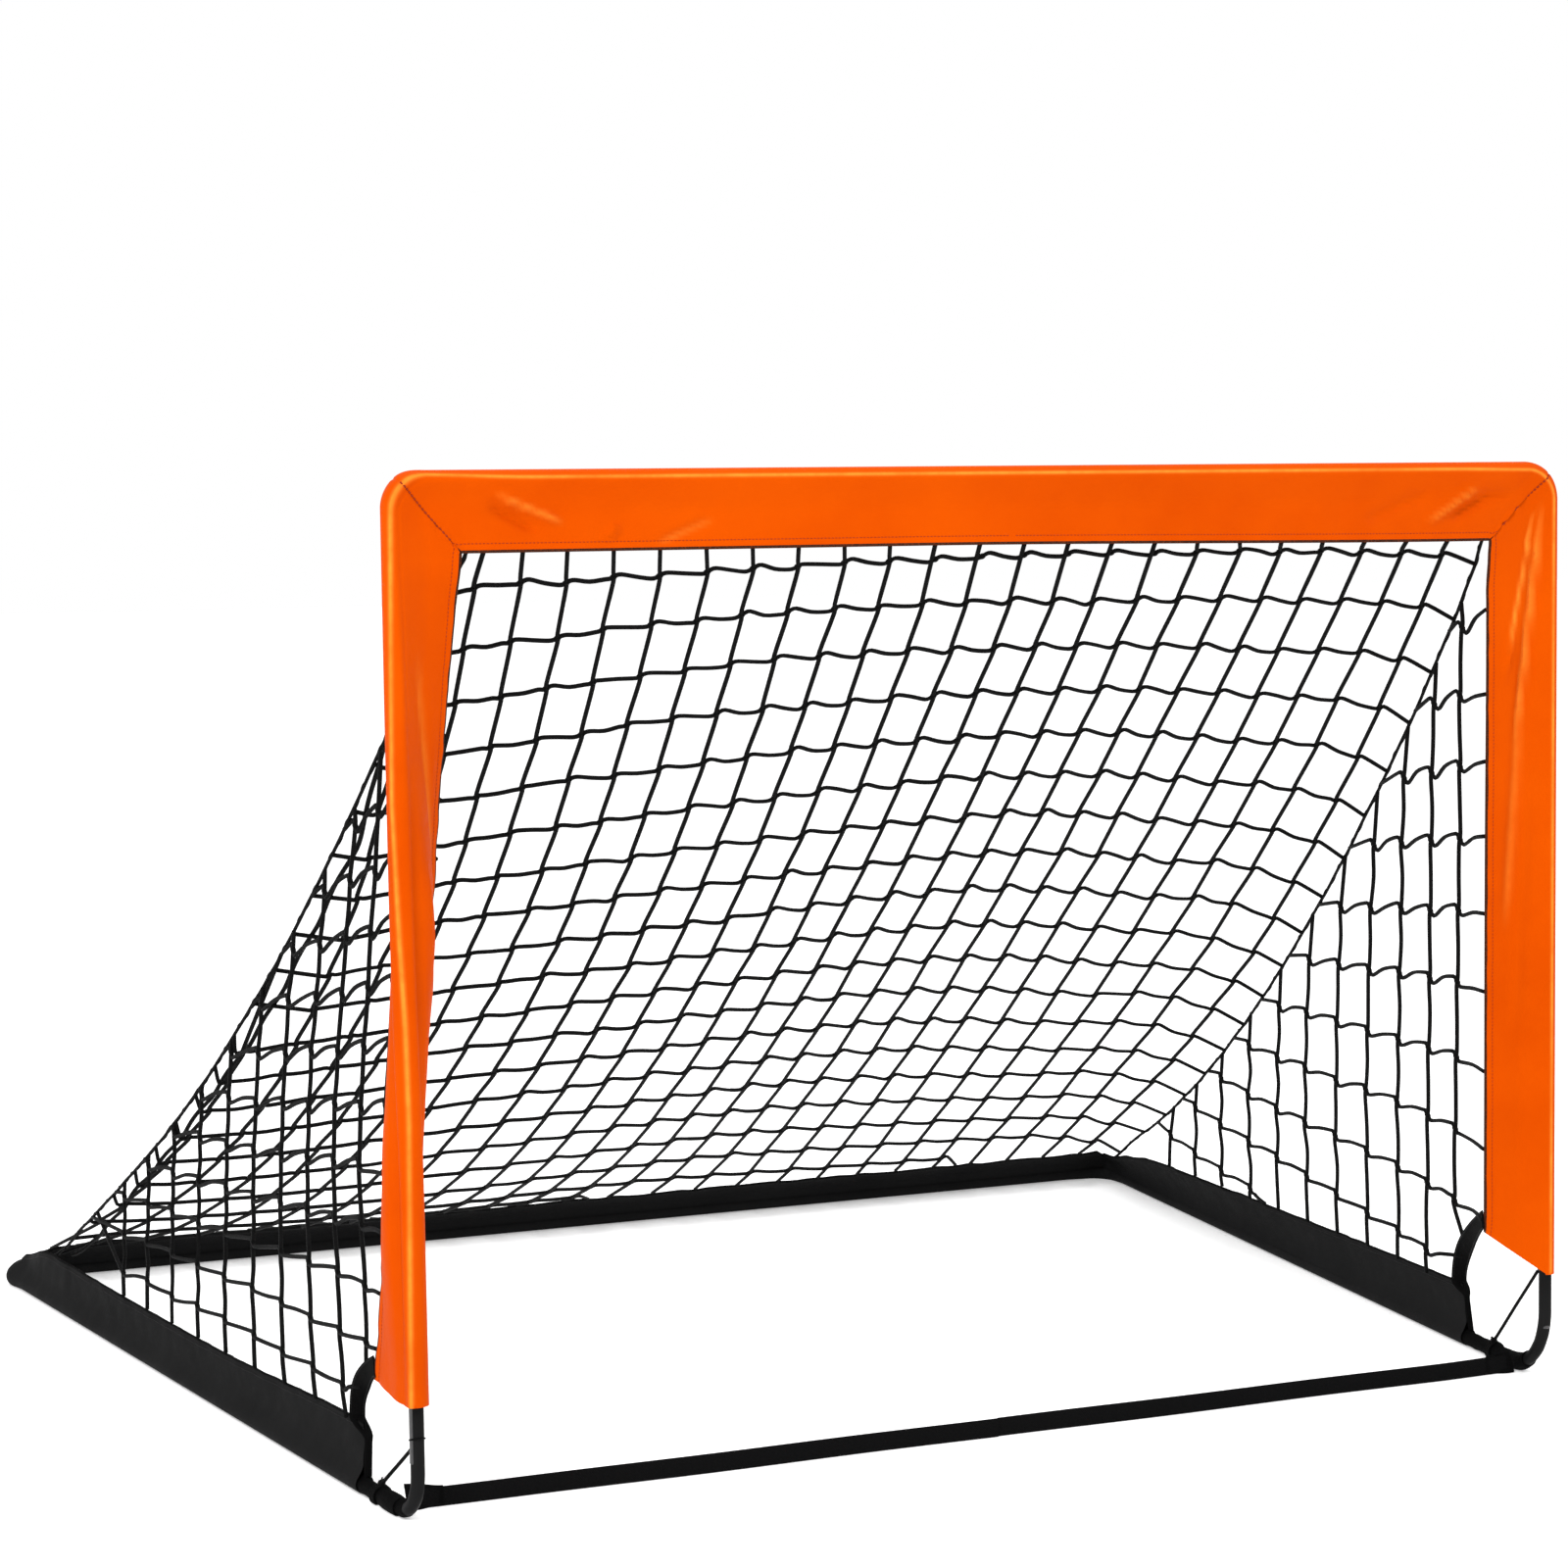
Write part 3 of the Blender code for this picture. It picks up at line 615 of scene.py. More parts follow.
def side_tip(side, s):
    u = s / RAIL_LEN
    if side < 0:
        z = 0.0500 + 0.010 * np.exp(-((s - 0.14) / 0.22) ** 2) + 0.003 * smooth((u - 0.6) / 0.4) - 0.025 * smooth((s - 1.050) / 0.14)
        lean = 0.002
    else:
        beta = radians(2 + 31 * u)
        z = BASE_FLAP * cos(beta) - 0.021 * smooth((s - 0.96) / 0.22)
        lean = BASE_FLAP * sin(beta) * (1 - 0.35 * smooth((s - 1.02) / 0.16))
    return rail_point(side, s, z) + rail_in(side) * lean


REAR_TIP = np.array([0.0, DEPTH - 0.051, 0.036])


def rear_corner_tip(side):
    if side < 0:
        return np.array([-(HALF_REAR - 0.034), DEPTH - 0.036, 0.027])
    return np.array([HALF_REAR - 0.022, DEPTH - 0.028, 0.025])


def seam_x(side, y):
    x = (0.5450 + 0.1573 * y) if side < 0 else (0.5310 + 0.1705 * y)
    if side < 0:
        # comes in to the ground sleeves' corner
        x -= 0.018 * smooth((y - 0.94) / 0.17)
    else:
        x -= 0.006 * np.exp(-y / 0.08) + 0.008 * smooth((y - 1.00) / 0.15)
    return side * x


def seam(side, y):
    t = y / 1.17
    x = seam_x(side, y) * side
    z = 0.8530 - 0.7050 * y - SEAM_SAG[side] * 4 * t * (1 - t)
    if side < 0:
        z -= 0.009 * smooth((y - 0.80) / 0.20) + 0.004 * smooth((y - 0.97) / 0.15)
    else:
        z -= 0.011 * smooth((y - 1.05) / 0.10)
    return np.array([side * x, y, z])


def sag(w):
    a = 0.048 + 0.120 * (0.5 + 0.5 * np.cos(pi * np.clip(abs(w - 0.21) / 0.6, 0, 1)))
    return a + 0.053 * np.clip((w - 0.88) / 0.12, 0, 1) ** 2


Y_NET0, Y_NET1 = 0.002, 1.1420


def back_net_point(x, y):
    xl, xr = seam(-1, min(y, 1.12))[0], seam(1, min(y, 1.12))[0]
    w = (x - xl) / (xr - xl)
    t = (y - Y_NET0) / (Y_NET1 - Y_NET0)
    z = 0.8590 + (0.0370 - 0.8590) * t - float(sag(w)) * 4 * t * (1 - t)
    return np.array([x, y, z])


BAND_TOP = {-1: 0.1255, 1: 0.1620}
BAND_FOOT = {-1: 0.1380, 1: 0.1750}
BAND_TURN = {-1: 0.45, 1: 0.62}


def band_point(side, f):
    """Centre line of the webbing band: down and back from the post's foot, then straight down."""
    z_a = BAND_TOP[side]
    psi = post_psi(side, z_a)
    a = post_tip(side, z_a) + np.array([-side * cos(psi), sin(psi), 0]) * 0.0010
    b = side_tip(side, BAND_FOOT[side])
    c = np.array([b[0], b[1], b[2] + (1 - BAND_TURN[side]) * (a[2] - b[2])])
    return (1 - f) ** 2 * a + 2 * f * (1 - f) * c + f ** 2 * b


# ------------------------------------------------------------------ sewn sleeves
def section(c, t, n0, tip, ring=RING_R, seam_at=0.0185, half=0.00085, hem=0.0085, edge=0.0013, bend=0.010):
    """One cross-section of a sleeve as a closed loop, from the free edge down the face on the
    +b side, round the rod and back.  Returns points, outward normals, distances from the rod
    along the flap, which side (+1 or -1) and a flag for the turned edge."""
    c, t, tip = np.asarray(c, float), unit(t), np.asarray(tip, float)
    n0 = unit(np.asarray(n0, float) - t * (np.asarray(n0, float) @ t))
    b0 = np.cross(t, n0)
    ctrl = c + n0 * (ring + bend) + t * ((tip - c) @ t) * (ring + bend) / np.linalg.norm(tip - c)
    # centre line: a quadratic curve from the rod's axis out to the tip
    q = np.linspace(0, 1, 41)
    cl = (1 - q)[:, None] ** 2 * c + 2 * (q * (1 - q))[:, None] * ctrl + q[:, None] ** 2 * tip
    d = np.concatenate([[0], np.cumsum(np.linalg.norm(np.diff(cl, axis=0), axis=1))])
    length = d[-1]
    # half thickness against distance: round the rod, taut to the channel seam, flat, thicker hem
    phi = np.arccos(np.clip(ring / seam_at, 0, 1)) * 0.97      # tangent point
    d_tan = ring * cos(phi)
    h_tan = ring * sin(phi)
    stations = list(np.linspace(d_tan, seam_at, 6)) + list(np.linspace(seam_at, length - hem, 9)[1:])
    stations += [length - hem + 0.0012, length - hem * 0.55, length - edge, length - edge * 0.35]

    def half_at(x):
        if x <= seam_at:
            f = (x - d_tan) / (seam_at - d_tan)
            return h_tan + (half - h_tan) * (1 - (1 - f) ** 1.35)
        k = smooth((x - (length - hem)) / 0.0016)
        tip_round = sqrt(max(0.0, 1 - max(0.0, (x - (length - edge * 0.7)) / (edge * 0.7)) ** 2))
        return (half + 0.00045 * k) * max(tip_round, 0.25)

    pts, nrm, dist, face, turned = [], [], [], [], []

    def at(x):
        k = np.interp(x, d, np.arange(len(d)))
        i = min(int(k), len(d) - 2)
        p = cl[i] + (cl[i + 1] - cl[i]) * (k - i)
        g = unit(cl[i + 1] - cl[i])
        g = unit(g - t * (g @ t))
        b = np.cross(t, g)
        return p, g, b

    for x in reversed(stations):
        p, g, b = at(x)
        pts.append(p + b * half_at(x)); nrm.append(b); dist.append(x); face.append(1); turned.append(x > length - edge - 1e-6)
    for a in np.linspace(phi, 2 * pi - phi, 31)[1:-1]:
        o = cos(a) * n0 + sin(a) * b0
        pts.append(c + ring * o); nrm.append(o); dist.append(ring * cos(a)); face.append(0); turned.append(False)
    for x in stations:
        p, g, b = at(x)
        pts.append(p - b * half_at(x)); nrm.append(-b); dist.append(x); face.append(-1); turned.append(x > length - edge - 1e-6)
    p, g, b = at(length)
    pts.append(p); nrm.append(g); dist.append(length); face.append(0); turned.append(True)
    return np.array(pts), np.array(nrm), np.array(dist), np.array(face), np.array(turned), length


def sleeve_piece(name, stations, s_along, mats, shift_fn=None, hem_stitch=None, channel_stitch=None, ends=(True, True),
                 crease_fn=None, across_stitch=None, **kw):
    """A sewn sleeve through dense stations (centre, tangent, neck, tip).  shift_fn(s, d, face,
    length) moves the face along the flap's normal, in metres.  Stitches are small raised loops."""
    secs = [section(*st[:4], **{**kw, **({"bend": st[4]} if len(st) > 4 else {})}) for st in stations]
    P = np.array([s[0] for s in secs])
    N = np.array([s[1] for s in secs])
    D = np.array([s[2] for s in secs])
    F = np.array([s[3] for s in secs])
    L = np.array([s[5] for s in secs])
    turned = secs[0][4]
    S = np.asarray(s_along, float)[:, None] * np.ones_like(D)
    if shift_fn is not None:
        # the flap moves as one sheet, so both faces shift along the +b normal
        move, puff = shift_fn(S, D, F, L[:, None])
        b_dir = N * np.where(F == 0, 0.0, F)[..., None]
        P = P + b_dir * move[..., None] + N * puff[..., None]
    crease = None
    if crease_fn is not None:
        # crease_fn gives each vertex a painted highlight weight, kept as the crease attribute, and a small rise
        crease, rise = crease_fn(P, N, S, D, F)
        P = P + N * rise[..., None]
    sp = Soup()
    n = P.shape[1]
    per = np.concatenate([[0], np.cumsum(np.linalg.norm(np.diff(P, axis=1), axis=2).mean(axis=0))])
    vv = np.append(per, per[-1] + 0.001)
    matj = [1 if (turned[j] and turned[(j + 1) % n]) else 0 for j in range(n)]
    sp.grid(P, close_v=True, uu=S[:, 0], vv=vv, mats=matj, flip=False, crease=crease)
    # closed ends: a thin turned lip, then the opening stays hollow round the rod
    for e, on in zip((0, len(P) - 1), ends):
        if not on:
            continue
        ring = P[e]
        c = np.asarray(stations[e][0], float)
        t = unit(stations[e][1]) * (1 if e == 0 else -1)
        inner = []
        for k in range(n):
            if F[e, k] == 0 and D[e, k] < 0.009:
                inner.append(c + (ring[k] - c) * 0.86 + t * 0.0015)
            else:
                inner.append(ring[k] - N[e, k] * min(0.0006, 0.0006) + t * 0.0015)
        pair = np.array([ring, inner])
        sp.grid(pair, 0, close_v=True, uu=[S[e, 0], S[e, 0] + 0.0015], vv=vv, flip=(e == 0))
    for line in (hem_stitch, channel_stitch):
        if not line:
            continue
        d_of, mat, pitch, size, faces = line
        for fc in faces:
            pts, nn, tt = [], [], []
            for i in range(len(P)):
                idx = np.where(F[i] == fc)[0]
                o = np.argsort(D[i, idx])
                idx = idx[o]
                x = d_of(S[i, 0], L[i])
                pos = np.array([np.interp(x, D[i, idx], P[i, idx, a]) for a in range(3)])
                nor = unit(np.array([np.interp(x, D[i, idx], N[i, idx, a]) for a in range(3)]))
                pts.append(pos); nn.append(nor)
            stitch_line(sp, np.array(pts), np.array(nn), pitch, size, mat)
    for row, mat, pitch, size in across_stitch or ():
        # a line of stitches across the sleeve, on both faces
        for fc in (1, -1):
            o = np.arange(n - 1)
            turn = int(np.argmin(D[row]))
            idx = o[o <= turn] if fc == 1 else o[o >= turn]
            idx = idx[np.argsort(D[row, idx])]
            idx = idx[(D[row, idx] < L[row] - 0.003) & (D[row, idx] > -0.0070)]
            stitch_line(sp, P[row, idx], N[row, idx], pitch, size, mat, duty=0.55)
    return sp.build(name, mats, sharp=62)


def stitch_line(sp, pts, nrm, pitch, size, mat, duty=0.72):
    """Small raised thread loops along a line lying on a surface."""
    seg = np.linalg.norm(np.diff(pts, axis=0), axis=1)
    cum = np.concatenate([[0], np.cumsum(seg)])
    count = int(cum[-1] / pitch)
    if count < 1:
        return
    for k in range(count):
        a = k * pitch + 0.12 * pitch
        b = a + duty * pitch
        xs = np.array([a, a * 0.7 + b * 0.3, a * 0.3 + b * 0.7, b])
        p = np.array([[np.interp(x, cum, pts[:, i]) for i in range(3)] for x in xs])
        n = np.array([[np.interp(x, cum, nrm[:, i]) for i in range(3)] for x in xs])
        lift = np.array([-0.35, 0.45, 0.45, -0.35])[:, None] * size
        sp.tube(p + n * lift, size * 0.5, n=5, mat=mat, caps=True, up=n[0])


def arc_len(centres):
    c = np.asarray(centres, float)
    return np.concatenate([[0], np.cumsum(np.linalg.norm(np.diff(c, axis=0), axis=1))])


# ---- posts
def post_stations(side):
    st = []
    corner = inner_corner(side)
    z_end = corner[2] - 0.001
    zs = np.concatenate([np.linspace(POST_BOTTOM[side], 0.165, 18), np.arange(0.170, z_end, 0.0045), [z_end]])
    for z in zs:
        k = np.clip((0.165 - z) / (0.165 - POST_BOTTOM[side]), 0, 1)
        tip = post_tip(side, z + SLANT[side] * k)
        psi = post_psi(side, z)
        n0 = np.array([-side * cos(psi), sin(psi), 0.0])
        w = smooth((z - (z_end - 0.05)) / 0.05)
        tip = tip + (corner - np.array([0, 0, 0.001]) - post_tip(side, z_end)) * w
        st.append((np.array([side * HALF_W, 0.0, z]), (0, 0, 1), n0, tip, 0.010 - 0.0097 * k))
    centre = np.array([side * (HALF_W - BEND), 0.0, H_BAR - BEND])
    mid = centre + BEND * unit((side, 0, 1))
    for q in np.linspace(0, pi / 4, 15):
        c = centre + BEND * (cos(q) * np.array([side, 0, 0]) + sin(q) * np.array([0, 0, 1.0]))
        t = -sin(q) * np.array([side, 0, 0]) + cos(q) * np.array([0, 0, 1.0])
        tip = corner + (mid - corner) * 0.06 * q / (pi / 4)
        st.append((c, t, np.array([-side * cos(q), 0.0, -sin(q)]), tip))
    return st


def bar_stations(side):
    st = []
    corner = inner_corner(side)
    centre = np.array([side * (HALF_W - BEND), 0.0, H_BAR - BEND])
    mid = centre + BEND * unit((side, 0, 1))
    for q in np.linspace(pi / 4, pi / 2, 15):
        c = centre + BEND * (cos(q) * np.array([side, 0, 0]) + sin(q) * np.array([0, 0, 1.0]))
        t = -sin(q) * np.array([side, 0, 0]) + cos(q) * np.array([0, 0, 1.0])
        tip = corner + (mid - corner) * 0.06 * (pi / 2 - q) / (pi / 4)
        st.append((c, t, np.array([-side * cos(q), 0.0, -sin(q)]), tip))
    x0 = abs(corner[0]) - 0.001
    for x in list(np.arange(x0, 0.004, -0.0045)) + [0.0]:
        c = np.array([side * x, 0.0, H_BAR])
        st.append((c, (-side, 0, 0), (0, 0, -1), np.array([side * x, 0.0, bar_edge(side * x)])))
    return st


def ridge(x, y, x0, y0, x1, y1, w, fade=0.25):
    """A soft ridge along the line from (x0, y0) to (x1, y1), 1 on its crest."""
    dx, dy = x1 - x0, y1 - y0
    ln = sqrt(dx * dx + dy * dy)
    u = ((x - x0) * dx + (y - y0) * dy) / ln ** 2
    off = ((x - x0) * dy - (y - y0) * dx) / ln
    return bump(off, w) * smooth(u / fade) * smooth((1 - u) / fade)


CORNER_OUT = {-1: 0.0060, 1: 0.0008}
LOOSE = {-1: 0.0045, 1: 0.0}


def outer(D, F):
    """1 on the outer half of the ring round the rod, 0 on the flap."""
    return np.where(F == 0, smooth(-D / RING_R * 1.25 + 0.1), 0.0)


def crease_of(side, theta_fn, t_of, folds=None):
    """Painted highlight along the taut crease on the rod, theta degrees outwards of straight ahead, and painted
    highlights on fold crests; the crease also rises a little.
    """
    def fn(P, N, S, D, F):
        t = t_of(S[:, 0])
        out = side * np.cross(np.array([0.0, 1.0, 0.0])[None], t)
        th = np.radians(theta_fn(S[:, 0]))
        aim = np.cos(th)[:, None] * np.array([0.0, -1.0, 0.0]) + np.sin(th)[:, None] * out
        c = np.clip((N * aim[:, None]).sum(axis=2), -1, 1)
        ang = np.degrees(np.arccos(c))
        # painted highlight weight: strongest where the ring faces the aim direction
        k = bump(ang, 9.0) * np.where(F == 0, 1.0, 0.0)
        k = k * (0.80 + 0.20 * value_noise(S / 0.045, S * 0, 77))
        rise = 0.0007 * k
        if folds is not None:
            k = np.clip(k + folds(S, D) * (F != 0), 0, 1)
        return k, rise
    return fn


def tangents(st):
    c = units(np.array([unit(x[1]) for x in st]))
    cs = arc_len([x[0] for x in st])

    def of(s):
        return units(np.array([np.interp(s, cs, c[:, a]) for a in range(3)]).T)
    return of


def post_shift(side):
    st = post_stations(side)
    cs = arc_len([s[0] for s in st])
    z_of = np.array([s[0][2] for s in st])
    s_mitre = cs[-1]

    def fn(S, D, F, L):
        z = np.interp(S, cs, z_of)
        flap = smooth((D - 0.015) / 0.012)
        m = 0.0007 * value_noise(S / 0.065, D / 0.040, 11 + side) * flap
        m = m + 0.0004 * value_noise(S / 0.022, D / 0.030, 23 + side) * flap
        # puckers where the mitre is sewn
        near = bump(s_mitre - S, 0.012)
        m = m + 0.0013 * near * np.sin(D / 0.0030 + 1.5 * np.sin(D * 300)) * flap
        if side > 0:
            # drape folds that fan down from the top corner
            m = m - side * 0.0070 * ridge(D, z, 0.014, 0.905, 0.046, 0.735, 0.0042)
            m = m - side * 0.0078 * ridge(D, z, 0.010, 0.885, 0.036, 0.640, 0.0050)
            m = m + side * 0.0060 * ridge(D, z, 0.020, 0.880, 0.052, 0.700, 0.0040)
            m = m - side * 0.0046 * ridge(D, z, 0.030, 0.700, 0.044, 0.450, 0.0060)
            m = m + side * 0.0038 * ridge(D, z, 0.024, 0.640, 0.034, 0.330, 0.0060)
        else:
            m = m + 0.0030 * ridge(D, z, 0.018, 0.780, 0.050, 0.560, 0.0060)
            m = m - 0.0026 * ridge(D, z, 0.016, 0.600, 0.040, 0.380, 0.0060)
        hemwave = smooth((D - (L - 0.012)) / 0.012)
        m = m + 0.0006 * hemwave * np.sin(S / 0.0085 + 2.0 * value_noise(S / 0.03, S * 0, 5))
        q = np.clip((S - (s_mitre - BEND * pi / 4)) / BEND, 0, pi / 4)
        puff = (LOOSE[side] * smooth((s_mitre - S) / 0.02) + CORNER_OUT[side] * np.sin(2 * q) ** 2) * outer(D, F)
        puff = puff - 0.0008 * bump(s_mitre - S, 0.0010)
        if side < 0:
            # the untwisted cloth stands off the rod as a loose tube where the flap turns back
            open_ = 0.0155 * smooth((0.735 - z) / 0.24) * (1 - 0.60 * smooth((0.270 - z) / 0.16))
            e = np.clip((D - 0.003) / (L - 0.011), 0, 1)
            puff = puff + open_ * np.sin(pi * e ** 0.80) ** 0.9 * (np.abs(F) > 0)
        return m, puff

    # direction of the painted crease highlight, degrees outwards of straight ahead, against height
    th = np.array([28.0, 22.0, 14.0, 20.0, 36.0, 56.0, 48.0, 40.0, 34.0]) if side < 0 else np.array([3.0] * 8 + [6.0])
    zz = np.array([0.10, 0.22, 0.36, 0.44, 0.52, 0.64, 0.76, 0.86, 0.93])
    theta = lambda s: np.interp(np.interp(s, cs, z_of), zz, th)

    # painted highlight on the crests of the drape folds
    def folds(S, D):
        z = np.interp(S, cs, z_of)
        if side < 0:
            return 0.30 * ridge(D, z, 0.018, 0.780, 0.050, 0.560, 0.0040)
        return (0.75 * ridge(D, z, 0.014, 0.905, 0.046, 0.735, 0.0022) + 0.80 * ridge(D, z, 0.010, 0.885, 0.036, 0.640, 0.0026)
                + 0.30 * ridge(D, z, 0.030, 0.700, 0.044, 0.450, 0.0040))

    return fn, cs, crease_of(side, theta, tangents(st), folds)


def bar_shift(side):
    st = bar_stations(side)
    cs = arc_len([s[0] for s in st])
    x_of = np.array([s[0][0] for s in st])

    def fn(S, D, F, L):
        x = np.interp(S, cs, x_of)
        flap = smooth((D - 0.015) / 0.012)
        m = 0.0008 * value_noise(x / 0.070 + 40, D / 0.035, 31) * flap
        m = m + 0.0005 * value_noise(x / 0.024 + 90, D / 0.028, 37) * flap
        near = bump(S, 0.012)
        m = m + 0.0013 * near * np.sin(D / 0.0030 + 1.5 * np.sin(D * 300)) * flap
        if side < 0:
            m = m - 0.0066 * ridge(D, x, 0.012, -0.515, 0.040, -0.445, 0.0040)
            m = m + 0.0050 * ridge(D, x, 0.020, -0.520, 0.048, -0.470, 0.0040)
            m = m - 0.0050 * ridge(D, x, 0.058, -0.408, 0.040, -0.395, 0.0035)
            m = m + 0.0040 * ridge(D, x, 0.060, -0.360, 0.036, -0.300, 0.0040)
        else:
            m = m + 0.0056 * ridge(D, x, 0.012, 0.555, 0.050, 0.480, 0.0045)
            m = m - 0.0052 * ridge(D, x, 0.014, 0.520, 0.052, 0.455, 0.0045)
            m = m + 0.0034 * ridge(D, x, 0.018, 0.470, 0.050, 0.380, 0.0050)
        hemwave = smooth((D - (L - 0.012)) / 0.012)
        m = m + 0.0006 * hemwave * np.sin(x / 0.0075 + 2.0 * value_noise(x / 0.03 + 50, x * 0, 6))
        q = np.clip(pi / 4 - S / BEND, 0, pi / 4)
        puff = CORNER_OUT[side] * np.sin(2 * q) ** 2 * outer(D, F)
        puff = puff - 0.0008 * bump(S, 0.0010)
        # the two halves meet in the same line at the middle
        return m * -side, puff

    # direction of the painted crease highlight, degrees outwards of straight ahead, along the bar
    a, b = (34.0, 14.0) if side < 0 else (6.0, 14.0)
    theta = lambda s: a + (b - a) * smooth(s / 0.12)

    # painted highlight on the crests of the drape folds
    def folds(S, D):
        x = np.interp(S, cs, x_of)
        if side < 0:
            return 0.45 * ridge(D, x, 0.012, -0.515, 0.040, -0.445, 0.0026) + 0.30 * ridge(D, x, 0.060, -0.360, 0.036, -0.300, 0.0026)
        return 0.35 * ridge(D, x, 0.014, 0.520, 0.052, 0.455, 0.0028)

    return fn, cs, crease_of(side, theta, tangents(st), folds)


FABRIC_MATS = [ORANGE, EDGE, ORANGE_THREAD, SEAM_THREAD]
BLACK_MATS = [BLACK, BINDING, BLACK_THREAD, BLACK_THREAD]

made = {}
for side in (-1, 1):
    tag = TAG[side]
    st = post_stations(side)
    fn, cs, cr = post_shift(side)
    made["post", side] = sleeve_piece(
        "post_sleeve_fabric_" + tag, st, cs, FABRIC_MATS, fn,
        hem_stitch=(lambda s, L: L - 0.0085, 2, 0.0036, 0.00070, (1, -1)),
        ends=(True, False), crease_fn=cr, across_stitch=[(-1, 3, 0.0042, 0.00170)], seam_at=0.030, edge=0.0028)
    st = bar_stations(side)
    fn, cs, cr = bar_shift(side)
    made["bar", side] = sleeve_piece(
        "crossbar_sleeve_fabric_" + tag, st, cs, FABRIC_MATS, fn,
        hem_stitch=(lambda s, L: L - 0.0085, 2, 0.0036, 0.00070, (1, -1)),
        ends=(False, False), crease_fn=cr, seam_at=0.030, edge=0.0028)


# ---- black ground sleeves
def side_stations(side):
    st = []
    d = rail_dir(side)
    s_end = RAIL_LEN - T_REAR
    ss = np.concatenate([np.linspace(CLOTH_FRONT[side], CLOTH_FRONT[side] + 0.02, 7), np.arange(CLOTH_FRONT[side] + 0.026, s_end, 0.0060), [s_end]])
    last = side_tip(side, s_end)
    first_tip = last + (rear_corner_tip(side) - last) * 0.35
    for s in ss:
        c = rail_point(side, s, BASE_RING_Z)
        w = smooth((s - (s_end - 0.10)) / 0.10)
        tip = side_tip(side, s) + (first_tip - last) * w
        st.append((c, d, (0, 0, 1), tip))
    turn = TURN_REAR / 2
    centre = rail_point(side, s_end, BASE_RING_Z) + rail_in(side) * BEND
    for q in np.linspace(0, turn, 10)[1:]:
        c = centre - BEND * cos(q) * rail_in(side) + BEND * sin(q) * d
        t = cos(q) * d + sin(q) * rail_in(side)
        tip = first_tip + (rear_corner_tip(side) - first_tip) * (q / turn)
        st.append((c, t, (0, 0, 1), tip))
    return st


def rear_stations(side):
    st = []
    d = rail_dir(side)
    s_end = RAIL_LEN - T_REAR
    centre = rail_point(side, s_end, BASE_RING_Z) + rail_in(side) * BEND
    x_t = HALF_REAR - T_REAR
    first = np.array([side * (x_t - 0.010), REAR_TIP[1] - 0.001, REAR_TIP[2] + 0.001])
    for q in np.linspace(TURN_REAR / 2, TURN_REAR, 10):
        c = centre - BEND * cos(q) * rail_in(side) + BEND * sin(q) * d
        t = cos(q) * d + sin(q) * rail_in(side)
        f = (q - TURN_REAR / 2) / (TURN_REAR / 2)
        tip = rear_corner_tip(side) + (first - rear_corner_tip(side)) * f
        st.append((c, t, (0, 0, 1), tip))
    xs = list(np.arange(x_t - 0.006, 0.004, -0.0070)) + [0.0]
    for x in xs:
        w = smooth((x_t - x) / 0.06)
        tip = np.array([side * min(x, x_t - 0.010 + 0.004 * (x - x_t)), 0, 0])
        tx = x - 0.010 * (1 - w)
        st.append((np.array([side * x, DEPTH, BASE_RING_Z]), (-side, 0, 0), (0, 0, 1),
                   np.array([side * tx, REAR_TIP[1] - 0.001 * (1 - w), REAR_TIP[2] + 0.001 * (1 - w)])))
    return st


def ground_shift(side, seed, corner, amp=1.0):
    """corner: where along the piece the rounded corner of the ground sleeves is."""
    def fn(S, D, F, L):
        flap = smooth((D - 0.013) / 0.012)
        m = amp * 0.0010 * value_noise(S / 0.075, D / 0.040, seed) * flap
        m = m + amp * 0.0006 * value_noise(S / 0.026, D / 0.022, seed + 7) * flap
        m = m + amp * 0.0004 * value_noise(S / 0.011, D / 0.014, seed + 9) * flap
        hem = smooth((D - (L - 0.012)) / 0.012)
        m = m + 0.0007 * hem * np.sin(S / 0.011 + 2 * value_noise(S / 0.04, S * 0, seed + 3))
        near = smooth(1 - np.abs(S - corner) / 0.060)
        # the cloth bellies out where it goes round the corner
        e = np.clip((D + 0.016) / (L + 0.016), 0, 1)
        puff = 0.0050 * near * np.sin(pi * e) ** 0.8 * np.where(F == -side, 1 - smooth((D - 0.004) / 0.014), 1.0)
        return m, puff
    return fn


for side in (-1, 1):
    tag = TAG[side]
    st = side_stations(side)
    made["side", side] = sleeve_piece(
        "side_sleeve_fabric_" + tag, st, arc_len([s[0] for s in st]), BLACK_MATS,
        ground_shift(side, 51 + side, arc_len([s[0] for s in st])[-1]),
        hem_stitch=(lambda s, L: L - 0.0070, 2, 0.0036, 0.00055, (1, -1)),
        ends=(True, False), edge=0.0022, bend=0.006)
    st = rear_stations(side)
    made["rear", side] = sleeve_piece(
        "rear_sleeve_fabric_" + tag, st, arc_len([s[0] for s in st]), BLACK_MATS, ground_shift(side, 71, 0.0, 0.8),
        hem_stitch=(lambda s, L: L - 0.0070, 2, 0.0036, 0.00055, (1, -1)),
        ends=(False, False), edge=0.0022, bend=0.006)


# ------------------------------------------------------------------ netting
def strand_x(k, t):
    return 0.0463 * (k - 11.6) * (1 - t) + 0.0552 * (k - 9.55) * t


def back_point(k, t, lift=0.0):
    """Point of the back netting: strand number k (may be fractional), t from crossbar to rear rail."""
    y = Y_NET0 + (Y_NET1 - Y_NET0) * t
    x = strand_x(k, t)
    xl, xr = seam_x(-1, y), seam_x(1, y)
    x = min(max(x, xl), xr)
    p = back_net_point(x, y)
    return p


